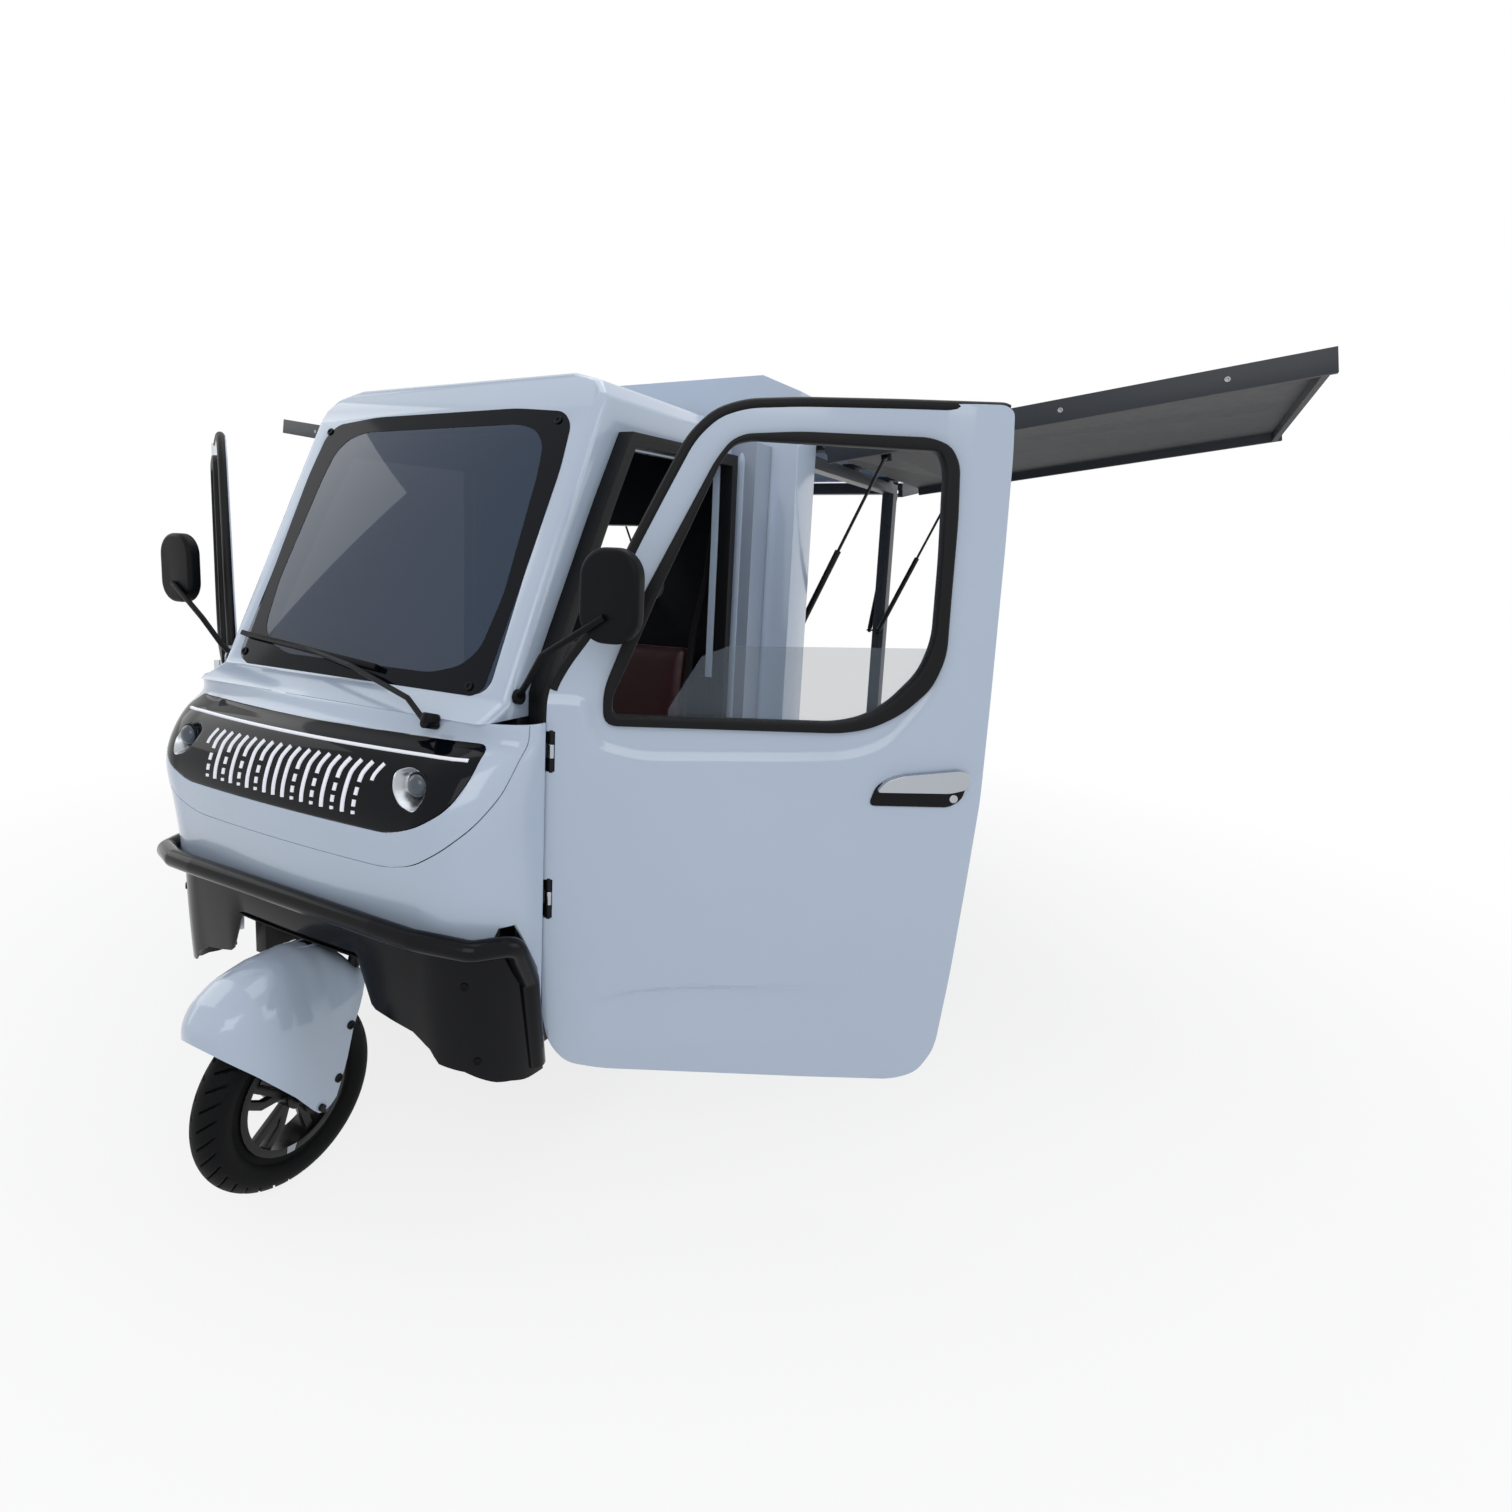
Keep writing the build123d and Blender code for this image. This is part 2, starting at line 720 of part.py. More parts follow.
def chassis():
    """Rails and cross members, the steering head with its tubes, sills, door posts and deck bearers."""
    parts = []
    for side in (-1, 1):
        x = side * RAIL_X
        low, high = down_tube(side)
        parts.append(block(x - 20, x + 20, 420, 2580, RAIL_LOW, RAIL_Z))
        parts.append(rod(low, high, DOWN_TUBE_R))
        parts.append(rod((high[0], high[1], high[2] - 8), steer_point(700), DOWN_TUBE_R))
    for y in (440, 900, 1310, 1740, 2250, 2560):
        parts.append(block(-RAIL_X, RAIL_X, y - 20, y + 20, RAIL_LOW + 5, RAIL_Z))
    head = rod(steer_point(HEAD_LOW), steer_point(HEAD_HIGH), HEAD_R)
    for y in BEARER_YS:
        parts.append(block(POST_WIDE - POST_OUT, POST_OUT - POST_WIDE, y - 20, y + 20, DECK_Z - DECK - 50, DECK_Z - DECK))
        for x in (-RAIL_X, RAIL_X):
            parts.append(block(x - 20, x + 20, y - 20, y + 20, RAIL_Z - 1, DECK_Z - DECK - 49))
    for side in (-1, 1):
        post = sorted((side * (CAB_HALF - 43), side * CAB_HALF))
        outrigger = sorted((side * RAIL_X, side * CAB_HALF))
        parts.append(block(post[0], post[1], NOSE_BACK + SEAT_GAP, 298, 455, CAB_BASE_Z - SEAT_GAP))
        parts.append(block(post[0], post[1], 256, 320, RAIL_Z - 40, 470))
        parts.append(block(post[0], post[1], 256, CAB_BACK + 20, RAIL_Z - 40, RAIL_Z))
        parts.append(block(outrigger[0], outrigger[1], 420, 450, RAIL_Z - 40, RAIL_Z))
        parts.append(block(outrigger[0], outrigger[1], CAB_BACK - 10, CAB_BACK + 20, RAIL_Z - 40, RAIL_Z))
        for z in HINGE_ZS:
            third = HINGE_HALF / 3 + 1
            for low, high in ((z - HINGE_HALF, z - third), (z + third, z + HINGE_HALF)):
                arm = sorted((side * (CAB_HALF - 2), side * HINGE_X))
                parts.append(block(arm[0], arm[1], HINGE_Y - 4, HINGE_Y + 4, low, high))
                parts.append(rod((side * HINGE_X, HINGE_Y, low), (side * HINGE_X, HINGE_Y, high), KNUCKLE_R))
            parts.append(rod((side * HINGE_X, HINGE_Y, z - HINGE_HALF), (side * HINGE_X, HINGE_Y, z + HINGE_HALF), PIN_R))
    frame = joined(parts) + head
    for x in (-TOW_X, TOW_X):
        for z in (TOW_Z - TOW_HIGH, TOW_Z + TOW_HIGH):
            frame = frame - rod((x, 2530, z), (x, 2590, z), TOW_HOLE_R)
    bore = rod(steer_point(HEAD_LOW - 20), steer_point(HEAD_HIGH + 20), STEM_R + SHAFT_GAP)
    return frame - bore


def rear_axle():
    """The beam axle with its motor and gear case, and the two leaf springs that carry the frame."""
    beam = rod((-400, WHEELBASE, REAR_TYRE_R), (400, WHEELBASE, REAR_TYRE_R), 30)
    stub = rod((-REAR_TRACK_HALF - 42, WHEELBASE, REAR_TYRE_R), (REAR_TRACK_HALF + 42, WHEELBASE, REAR_TYRE_R), AXLE_R)
    case = rod((-60, WHEELBASE, REAR_TYRE_R), (60, WHEELBASE, REAR_TYRE_R), 88)
    motor = rod((60, WHEELBASE, REAR_TYRE_R + 10), (230, WHEELBASE, REAR_TYRE_R + 10), 76)
    parts = [beam + stub + case + motor]
    for x in (-300, 300):
        leaf = make_face(
            [
                ThreePointArc((WHEELBASE - 360, 282), (WHEELBASE, 256), (WHEELBASE + 360, 282)),
                Line((WHEELBASE + 360, 282), (WHEELBASE + 360, 299.7)),
                Line((WHEELBASE + 360, 299.7), (WHEELBASE + 340, 299.7)),
                ThreePointArc((WHEELBASE + 340, 299.7), (WHEELBASE, 274), (WHEELBASE - 340, 299.7)),
                Line((WHEELBASE - 340, 299.7), (WHEELBASE - 360, 299.7)),
                Line((WHEELBASE - 360, 299.7), (WHEELBASE - 360, 282)),
            ]
        )
        clamp = block(x - 34, x + 34, WHEELBASE - 40, WHEELBASE + 40, 236, 282)
        parts.append(side_plate(leaf, x - 24, x + 24) + clamp)
    return joined(parts)


def rear_guards():
    """A curved guard over each rear wheel, hung from the deck by a strap."""
    guard_r = REAR_TYRE_R + 18
    half = REAR_TYRE_HALF + 6
    ring = make_face(Circle(guard_r + 4)) - make_face(Circle(guard_r))
    guard = side_plate(Pos(WHEELBASE, REAR_TYRE_R) * ring, REAR_TRACK_HALF - half, REAR_TRACK_HALF + half)
    guard = guard - block(0, 800, 1500, 2500, -200, REAR_TYRE_R + 70)
    strap = block(
        REAR_TRACK_HALF - 30,
        REAR_TRACK_HALF + 30,
        WHEELBASE - 15,
        WHEELBASE + 15,
        REAR_TYRE_R + guard_r + 2,
        DECK_Z - DECK - SEAT_GAP,
    )
    return both_sides(guard + strap)


# Load box

def cargo_frame():
    """Steel channel posts and rails round the load space, with the hinge plates of flaps and hatch."""
    parts = []
    inner = POST_OUT - POST_WIDE
    low = DECK_Z - 60
    for side in (-1, 1):
        x = sorted((side * inner, side * POST_OUT))
        parts.append(block(x[0], x[1], REAR_POST[0], REAR_POST[1], low, RAIL_TOP))
        parts.append(block(x[0], x[1], FRONT_POST[0], FRONT_POST[1], low, RAIL_TOP))
        parts.append(block(x[0], x[1], BOX_FRONT + BOX_WALL, REAR_POST[1], RAIL_TOP - RAIL_HIGH, RAIL_TOP))
        parts.append(block(x[0], x[1], BOX_FRONT + BOX_WALL, REAR_POST[1], low, DECK_Z))
        for y0 in hinge_starts(FLAP_Y, 0):
            reach = sorted((side * inner, side * FLAP_AXIS_X))
            parts.append(block(reach[0], reach[1], y0, y0 + HINGE_RUN, HINGE_PLATE_TOP - 14, HINGE_PLATE_TOP))
            parts.append(block(x[0], x[1], y0, y0 + HINGE_RUN, RAIL_TOP - 2, HINGE_PLATE_TOP - 10))
            parts.append(rod((side * FLAP_AXIS_X, y0, FLAP_AXIS_Z), (side * FLAP_AXIS_X, y0 + HINGE_RUN, FLAP_AXIS_Z), HINGE_R))
        parts.append(
            rod((side * FLAP_AXIS_X, FLAP_Y[0] + 20, FLAP_AXIS_Z), (side * FLAP_AXIS_X, FLAP_Y[1] - 20, FLAP_AXIS_Z), STUD_R)
        )
        foot_x = side * (FLAP_AXIS_X - STRUT_FOOT_IN)
        parts.append(rod((foot_x, FRONT_POST[1] - 2, STRUT_FOOT_Z), (foot_x, STRUT_FRONT_Y + 12, STRUT_FOOT_Z), STUD_R))
        parts.append(rod((foot_x, REAR_POST[0] + 2, STRUT_FOOT_Z), (foot_x, STRUT_REAR_Y - 12, STRUT_FOOT_Z), STUD_R))
        foot_y = HATCH_AXIS_Y - STRUT_FOOT_IN
        parts.append(
            rod((side * (inner + 2), foot_y, STRUT_FOOT_Z), (side * (STRUT_HATCH_X - 12), foot_y, STRUT_FOOT_Z), STUD_R)
        )
    for y in ((BOX_FRONT + BOX_WALL, BOX_FRONT + BOX_WALL + 40), REAR_POST):
        parts.append(block(-POST_OUT, POST_OUT, y[0], y[1], RAIL_TOP - RAIL_HIGH, RAIL_TOP))
        parts.append(block(-POST_OUT, POST_OUT, y[0], y[1], low, DECK_Z - DECK - 1))
    parts.append(block(-POST_OUT, POST_OUT, REAR_POST[1] - 15, REAR_POST[1], low, SILL_Z))
    for x0 in hinge_starts((-HATCH_HALF, HATCH_HALF), 0):
        parts.append(block(x0, x0 + HINGE_RUN, REAR_POST[0], HATCH_AXIS_Y, HINGE_PLATE_TOP - 14, HINGE_PLATE_TOP))
        parts.append(block(x0, x0 + HINGE_RUN, REAR_POST[0], REAR_POST[1], RAIL_TOP - 2, HINGE_PLATE_TOP - 10))
        parts.append(rod((x0, HATCH_AXIS_Y, FLAP_AXIS_Z), (x0 + HINGE_RUN, HATCH_AXIS_Y, FLAP_AXIS_Z), HINGE_R))
    parts.append(rod((20 - HATCH_HALF, HATCH_AXIS_Y, FLAP_AXIS_Z), (HATCH_HALF - 20, HATCH_AXIS_Y, FLAP_AXIS_Z), STUD_R))
    return joined(parts)


def hinge_starts(span, moving):
    """Starts of the fixed (0) or moving (1) knuckles along a hinge, three pairs over the span."""
    starts = []
    for share in (0.06, 0.48, 0.88):
        first = span[0] + share * (span[1] - span[0])
        starts.append(first + moving * (HINGE_RUN + 1))
    return starts


def cargo_shell():
    """The white roof moulding, the front wall with its window, and the rounded front corners."""
    def roof_face(inset):
        half = BOX_HALF - inset
        top = BOX_ROOF_Z - inset
        return outline(
            [
                (-half, HINGE_PLATE_TOP + SEAT_GAP - 3 * inset),
                (-half, 1945 - 0.6 * inset),
                (-510, top),
                (510, top),
                (half, 1945 - 0.6 * inset),
                (half, HINGE_PLATE_TOP + SEAT_GAP - 3 * inset),
            ]
        )

    roof = front_plate(roof_face(0), BOX_FRONT, BOX_BACK)
    roof = roof - front_plate(roof_face(BOX_WALL), BOX_FRONT + BOX_WALL, BOX_BACK - BOX_WALL)
    wall = block(-BOX_HALF, BOX_HALF, BOX_FRONT, BOX_FRONT + BOX_WALL, DECK_Z - 40, HINGE_PLATE_TOP + 4)
    wall = wall - front_plate(outline(REAR_WINDOW, 40), 0, 1400)
    shell = roof + wall
    for side in (-1, 1):
        x = sorted((side * (POST_OUT + SEAT_GAP), side * BOX_HALF))
        shell = shell + block(x[0], x[1], BOX_FRONT, FLAP_Y[0] - 8, DECK_Z - 40, HINGE_PLATE_TOP + 4)
    return shell


def deck():
    return block(
        -POST_OUT + POST_WIDE + SEAT_GAP,
        POST_OUT - POST_WIDE - SEAT_GAP,
        BOX_FRONT + BOX_WALL + SEAT_GAP,
        REAR_POST[1] - 15 - SEAT_GAP,
        DECK_Z - DECK,
        DECK_Z,
    )


def lid(length, wide, start_shares):
    """A raised lid in its own frame: x along it from the hinge, y across from 0, z up through it."""
    skin = block(FLAP_START, length, 0, wide, -FLAP_THICK, -FLAP_THICK + 3)
    skin = skin + block(FLAP_START, length, 0, wide, -3, 0)
    for y0, y1 in ((0, 20), (wide - 20, wide)):
        skin = skin + block(FLAP_START + 6, length, y0, y1, -FLAP_EDGE, 0)
    lip = outline([(length - 30, -FLAP_EDGE), (length - 30, 0), (length, 0), (length - 14, -FLAP_EDGE)])
    plane = Plane(origin=(0, 0, 0), x_dir=(1, 0, 0), z_dir=(0, -1, 0))
    skin = skin + extrude(plane * lip, amount=wide, dir=(0, 1, 0))
    skin = skin + block(FLAP_START, FLAP_START + 20, 0, wide, -FLAP_THICK, 0)
    for start in start_shares:
        skin = skin + block(0, FLAP_START + 4, start, start + HINGE_RUN, -HINGE_R, 0)
        knuckle = extrude(Plane(origin=(0, start, 0), x_dir=(1, 0, 0), z_dir=(0, 1, 0)) * Circle(HINGE_R), amount=HINGE_RUN)
        skin = skin + knuckle
    pin = extrude(Plane(origin=(0, -5, 0), x_dir=(1, 0, 0), z_dir=(0, 1, 0)) * Circle(STUD_R + SHAFT_GAP), amount=wide + 10)
    return skin - pin


def strut_ear(across, toward):
    """A lid's strut bracket: a plate and a stud whose end faces the rod's eye."""
    plate = block(STRUT_ALONG - 16, STRUT_ALONG + 16, across + toward * 17 - 2, across + toward * 17 + 2, -STRUT_BELOW - 10, -FLAP_THICK + 1)
    stud = rod((STRUT_ALONG, across + toward * (5 + SEAT_GAP), -STRUT_BELOW), (STRUT_ALONG, across + toward * 17, -STRUT_BELOW), 5)
    return plate + stud


def place_flap(shape):
    return Pos(FLAP_AXIS_X, FLAP_Y[0], FLAP_AXIS_Z) * Rot(0, -FLAP_RAISED, 0) * shape


def flap():
    wide = FLAP_Y[1] - FLAP_Y[0]
    starts = [start - FLAP_Y[0] for start in hinge_starts(FLAP_Y, 1)]
    body = lid(FLAP_LONG, wide, starts)
    body = body + strut_ear(STRUT_FRONT_Y - FLAP_Y[0], 1) + strut_ear(STRUT_REAR_Y - FLAP_Y[0], -1)
    return place_flap(body)


def place_hatch(shape):
    return Pos(HATCH_HALF, HATCH_AXIS_Y, FLAP_AXIS_Z) * Rot(FLAP_RAISED, 0, 0) * Rot(0, 0, 90) * shape


def hatch():
    wide = 2 * HATCH_HALF
    starts = [HATCH_HALF - start - HINGE_RUN for start in hinge_starts((-HATCH_HALF, HATCH_HALF), 1)]
    body = lid(HATCH_LONG, wide, starts)
    body = body + strut_ear(HATCH_HALF - STRUT_HATCH_X, 1) + strut_ear(HATCH_HALF + STRUT_HATCH_X, -1)
    body = body + block(HATCH_LONG - 6, HATCH_LONG + LATCH_OUT, HATCH_HALF - 40, HATCH_HALF + 40, -LATCH_LOW, -10)
    return place_hatch(body)


# Gas struts, drawn in the flap's plane: distance out from the hinge line, and height

def strut_ends():
    """Foot and head of an open strut, relative to the lid's axis."""
    rise = radians(FLAP_RAISED)
    head = (
        STRUT_ALONG * cos(rise) + STRUT_BELOW * sin(rise),
        STRUT_ALONG * sin(rise) - STRUT_BELOW * cos(rise),
    )
    return (-STRUT_FOOT_IN, STRUT_FOOT_Z - FLAP_AXIS_Z), head


def strut_pair(draw):
    """Both struts of the left flap as one moving pair, from the one-strut drawing."""
    foot, head = strut_ends()
    angle = degrees(atan2(head[0] - foot[0], head[1] - foot[1]))
    length = hypot(head[0] - foot[0], head[1] - foot[1])
    return draw(length), angle, foot


def strut_tube(length):
    """Upright strut tube on its foot eye; the eye's pin runs along Y."""
    eye = extrude(Plane(origin=(0, -5, 0), z_dir=(0, 1, 0)) * Circle(10), amount=10)
    body = rod((0, 0, 8), (0, 0, STRUT_TUBE_LONG), STRUT_TUBE_R)
    tube = eye + body
    tube = tube - extrude(Plane(origin=(0, -12, 0), z_dir=(0, 1, 0)) * Circle(STUD_R + SHAFT_GAP), amount=24)
    return tube - rod((0, 0, 24), (0, 0, STRUT_TUBE_LONG + 5), STRUT_ROD_R + SHAFT_GAP)


def strut_rod(length):
    shaft = rod((0, 0, length - STRUT_ROD_LONG), (0, 0, length - 4), STRUT_ROD_R)
    eye = extrude(Plane(origin=(0, -5, length), z_dir=(0, 1, 0)) * Circle(9), amount=10)
    return shaft + eye


def place_strut(shape, angle, foot, across):
    return Pos(FLAP_AXIS_X + foot[0], across, FLAP_AXIS_Z + foot[1]) * Rot(0, angle, 0) * shape


def flap_struts(draw):
    shape, angle, foot = strut_pair(draw)
    return [place_strut(shape, angle, foot, y) for y in (STRUT_FRONT_Y, STRUT_REAR_Y)]


def hatch_struts(draw):
    shape, angle, foot = strut_pair(draw)
    out = []
    for x in (-STRUT_HATCH_X, STRUT_HATCH_X):
        out.append(Pos(x, HATCH_AXIS_Y + foot[0], FLAP_AXIS_Z + foot[1]) * Rot(-angle, 0, 0) * Rot(0, 0, 90) * shape)
    return out


# Doors, drawn closed on the left side and then swung open

def place_door(shape):
    return Pos(HINGE_X, HINGE_Y, 0) * Rot(0, 0, -DOOR_OPEN) * shape


def door_slab(face, t0, t1):
    """A face drawn in (distance behind the hinge, height), between two depths through the door."""
    return side_plate(face, t0, t1)


def door_shell():
    slab = door_slab(outline(DOOR_EDGE, 14), -DOOR_IN, DOOR_OUT - DOOR_LIFT)
    lower = outline(DOOR_EDGE[:10] + STEP_LINE, 8)
    slab = slab + door_slab(lower, DOOR_OUT - DOOR_LIFT - 1, DOOR_OUT)
    slab = slab - door_slab(outline(WINDOW_SEAL, WINDOW_ROUND), -60, 60)
    slab = slab - block(-9.7, -6.3, 235, 796, 755, 1295)
    for z in HINGE_ZS:
        slab = slab - block(-60, 60, -40, 14, z - HINGE_HALF - 4, z + HINGE_HALF + 4)
    return place_door(slab)


def door_glass():
    pane = outline([(240, 760), (790, 760), (790, 1282), (362, 1272), (305, 1248), (240, 1135)])
    return place_door(door_slab(pane, -9.2, -6.8))


def door_gasket():
    ring = offset(outline(WINDOW_SEAL, WINDOW_ROUND), amount=-SEAT_GAP) - outline(WINDOW_HOLE, WINDOW_ROUND - 12)
    gasket = door_slab(ring, -DOOR_IN, DOOR_OUT + 4)
    gasket = gasket - block(-9.7, -6.3, 235, 796, 755, 1295)
    return place_door(gasket)


def door_fittings():
    """The outer handle, and the moving leaf of each hinge."""
    grip = door_slab(outline([(677, 950), (690, 1006), (740, 1018), (868, 1024), (884, 1000), (870, 952)], 10), DOOR_OUT + SEAT_GAP, DOOR_OUT + 22)
    parts = [place_door(grip)]
    for z in HINGE_ZS:
        low = z - HINGE_HALF / 3
        high = z + HINGE_HALF / 3
        leaf = rod((0, 0, low), (0, 0, high), KNUCKLE_R)
        leaf = leaf + block(-DOOR_IN - 5, -4, -3, 3, low, high)
        leaf = leaf + block(-DOOR_IN - 5, -DOOR_IN - SEAT_GAP, -3, 70, low, high)
        leaf = leaf - rod((0, 0, low - 5), (0, 0, high + 5), PIN_R + SHAFT_GAP)
        parts.append(place_door(leaf))
    return parts


def mirrors():
    """A bent arm on the foot of each windscreen pillar, with a rounded mirror head."""
    foot = (CAB_HALF + SEAT_GAP, 225, 1150)
    arm = pipe(
        [
            (CAB_HALF + 7, 223, 1153),
            (CAB_HALF + 35, 212, 1180),
            (CAB_HALF + 87, 196, 1245),
            (CAB_HALF + 227, 205, 1330),
        ],
        7,
        18,
    )
    arm = arm + rod(foot, (foot[0] + 11, foot[1], foot[2]), 16)
    head = Pos(CAB_HALF + 227, 228, 1370) * Box(*MIRROR_HEAD)
    head = fillet(head.edges().filter_by(Axis.Y), 0.42 * MIRROR_HEAD[0])
    head = fillet(head.edges(), 12)
    return both_sides(arm + head)


def wiper():
    """The wiper: pivot on the cowl, bent arm, and blade across the glass."""
    plane = screen_plane()
    tip = plane.from_local_coords((-150, 68, 16))
    pivot = rod((346, 130, 1088), (346, 90, 1098), 11) - nose_form(-SEAT_GAP)
    arm = pipe([(346, 96, 1096), (276, 113, 1138), (50, 156, 1182), (tip.X, tip.Y, tip.Z)], 6, 10)
    blade = plane * (Pos(-162, 67.5, 12) * Rot(0, 0, -4.8) * Box(510, 12, 16))
    return pivot + arm + blade


def tail_lamps():
    lamp = block(400, 550, REAR_POST[1] + SEAT_GAP, REAR_POST[1] + 16, 555, 650)
    return both_sides(lamp)


def battery():
    return block(-270, 270, WHEELBASE - 710, WHEELBASE - 240, 205, RAIL_LOW + 5)


def at_wheel(shape, x, y, r):
    return Pos(x, y, r) * shape


left_flap = flap()
left_tubes = flap_struts(strut_tube)
left_rods = flap_struts(strut_rod)
left_shell = door_shell()
left_glass = door_glass()
left_gasket = door_gasket()
left_fittings = door_fittings()


def flipped(shapes):
    return [mirror(shape, Plane.YZ) for shape in shapes]


NODES = {
    "chassis_frame": [chassis()],
    "rear_axle": [rear_axle()],
    "battery_box": [battery()],
    "cab_floor": [floor_pan()],
    "cab_shell": [cab_shell()],
    "cab_back": [cab_back()],
    "nose_upper": [nose_upper()],
    "nose_lower": [nose_lower()],
    "lamp_panel": [lamp_panel()],
    "lamp_lights": lamp_lights(),
    "bumper": [bumper()],
    "arch_panels": arch_panels(),
    "windscreen": [windscreen()],
    "wiper": [wiper()],
    "door_seals": both_sides(door_seal()),
    "dash": [dash()],
    "seat": seat(),
    "cargo_deck": [deck()],
    "cargo_frame": [cargo_frame()],
    "cargo_shell": [cargo_shell()],
    "mirrors": mirrors(),
    "rear_guards": rear_guards(),
    "tail_lamps": tail_lamps(),
    "fork": [steering()],
    "handlebar": [handlebar()],
    "front_mudguard": [mudguard()],
    "front_rim": [at_wheel(rim(-46, 46), 0, 0, FRONT_TYRE_R)],
    "front_tyre": [at_wheel(tyre(FRONT_TYRE_R, FRONT_TYRE_HALF), 0, 0, FRONT_TYRE_R)],
    "rear_rim_left": [at_wheel(rim(-60, 40), REAR_TRACK_HALF, WHEELBASE, REAR_TYRE_R)],
    "rear_tyre_left": [at_wheel(tyre(REAR_TYRE_R, REAR_TYRE_HALF), REAR_TRACK_HALF, WHEELBASE, REAR_TYRE_R)],
    "door_shell_left": [left_shell],
    "door_glass_left": [left_glass],
    "door_gasket_left": [left_gasket],
    "door_fittings_left": left_fittings,
    "flap_left": [left_flap],
    "strut_tubes_left": left_tubes,
    "strut_rods_left": left_rods,
    "hatch": [hatch()],
    "strut_tubes_rear": hatch_struts(strut_tube),
    "strut_rods_rear": hatch_struts(strut_rod),
}
for name in list(NODES):
    if name.endswith("_left"):
        NODES[name[:-4] + "right"] = flipped(NODES[name])

os.makedirs("parts", exist_ok=True)
for name, shapes in NODES.items():
    placed = [Pos(0, -FRAME_Y, 0) * shape for shape in shapes]
    solids = [solid for shape in placed for solid in shape.solids()]
    export_step(Compound(children=solids) if len(solids) > 1 else solids[0], f"parts/{name}.step")
print("frame shift", FRAME_Y)
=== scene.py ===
import math

import bpy
from mathutils import Matrix, Vector


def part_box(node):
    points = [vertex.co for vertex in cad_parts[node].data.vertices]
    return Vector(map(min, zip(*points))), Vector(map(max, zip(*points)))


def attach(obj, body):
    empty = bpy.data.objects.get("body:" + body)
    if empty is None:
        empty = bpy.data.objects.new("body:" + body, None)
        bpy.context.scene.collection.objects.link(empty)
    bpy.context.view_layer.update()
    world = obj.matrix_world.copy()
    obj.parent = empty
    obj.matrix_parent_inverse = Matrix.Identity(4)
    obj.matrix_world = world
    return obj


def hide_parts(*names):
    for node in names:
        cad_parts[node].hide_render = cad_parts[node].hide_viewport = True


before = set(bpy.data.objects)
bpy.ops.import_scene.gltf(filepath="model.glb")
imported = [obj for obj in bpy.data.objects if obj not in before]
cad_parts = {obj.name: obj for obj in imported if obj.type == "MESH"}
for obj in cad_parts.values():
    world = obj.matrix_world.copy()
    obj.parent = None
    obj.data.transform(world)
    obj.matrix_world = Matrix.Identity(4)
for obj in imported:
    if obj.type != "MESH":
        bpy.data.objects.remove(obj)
bpy.ops.object.select_all(action="DESELECT")
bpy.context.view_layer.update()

# Camera: stands a little in front of the left door, at a standing person's chest, and
# looks back across the nose through a wide lens. Its place and all drawing places count y
# from the front axle, which lies FRAME_SHIFT ahead of the model's origin.
FRAME_SHIFT = 1.764011
LENS_MM = 20.328
SHIFT = (0.05154, -0.04301)
EYE = (1.61778, -1.13981, 1.44087)
YAW, PITCH, ROLL = 29.1715, 8.6279, 2.3268
camera_data = bpy.data.cameras.new("camera")
camera_data.sensor_width = 36
camera_data.lens = LENS_MM
camera_data.shift_x, camera_data.shift_y = SHIFT
camera_data.clip_start = 0.02
camera = bpy.data.objects.new("camera", camera_data)
bpy.context.scene.collection.objects.link(camera)
bpy.context.scene.camera = camera
yaw, pitch, roll = (math.radians(angle) for angle in (YAW, PITCH, ROLL))
ahead = Vector((-math.sin(yaw) * math.cos(pitch), math.cos(yaw) * math.cos(pitch), -math.sin(pitch)))
level = Vector((math.cos(yaw), math.sin(yaw), 0))
upright = level.cross(ahead)
right = level * math.cos(roll) + upright * math.sin(roll)
above = upright * math.cos(roll) - level * math.sin(roll)
camera.matrix_world = Matrix.Translation((EYE[0], EYE[1] - FRAME_SHIFT, EYE[2])) @ Matrix(
    (right, above, -ahead)
).transposed().to_4x4()

# Floor and light: a white sweep under four soft boxes. The floor and the world show as
# plain white to the eye and in reflections, and light the vehicle less than they show.
SKY_STRENGTH = 0.42
scene = bpy.context.scene
scene.view_settings.view_transform = "Standard"


def linear(code):
    """Linear colour of an sRGB hex value."""
    values = [int(code[i : i + 2], 16) / 255 for i in (0, 2, 4)]
    return [v / 12.92 if v <= 0.04045 else ((v + 0.055) / 1.055) ** 2.4 for v in values] + [1]


def add(tree, kind, values=None, links=None, **settings):
    """Adds a node to a tree, with its settings, its sockets' values and what feeds them."""
    node = tree.nodes.new(kind)
    for name, value in settings.items():
        setattr(node, name, value)
    for name, value in (values or {}).items():
        node.inputs[name].default_value = value
    for name, source in (links or {}).items():
        tree.links.new(source, node.inputs[name])
    return node


def by_eye(tree):
    """One where the camera sees a surface straight, in gloss or through glass, and none elsewhere."""
    path = add(tree, "ShaderNodeLightPath")
    straight, gloss = path.outputs["Is Camera Ray"], path.outputs["Is Glossy Ray"]
    first = add(tree, "ShaderNodeMath", {}, {0: straight, 1: gloss}, operation="MAXIMUM")
    through = path.outputs["Is Transmission Ray"]
    return add(tree, "ShaderNodeMath", {}, {0: first.outputs[0], 1: through}, operation="MAXIMUM")


world = bpy.data.worlds.new("studio")
world.use_nodes = True
scene.world = world
tree = world.node_tree
tree.nodes.clear()
sky = add(tree, "ShaderNodeBackground", {"Color": linear("F4F7FB"), "Strength": SKY_STRENGTH})
white = add(tree, "ShaderNodeBackground", {"Color": (1, 1, 1, 1), "Strength": 1.0})
seen = by_eye(tree)
shown = add(tree, "ShaderNodeMixShader", {},
            {0: seen.outputs[0], 1: sky.outputs[0], 2: white.outputs[0]})
add(tree, "ShaderNodeOutputWorld", {}, {"Surface": shown.outputs[0]})

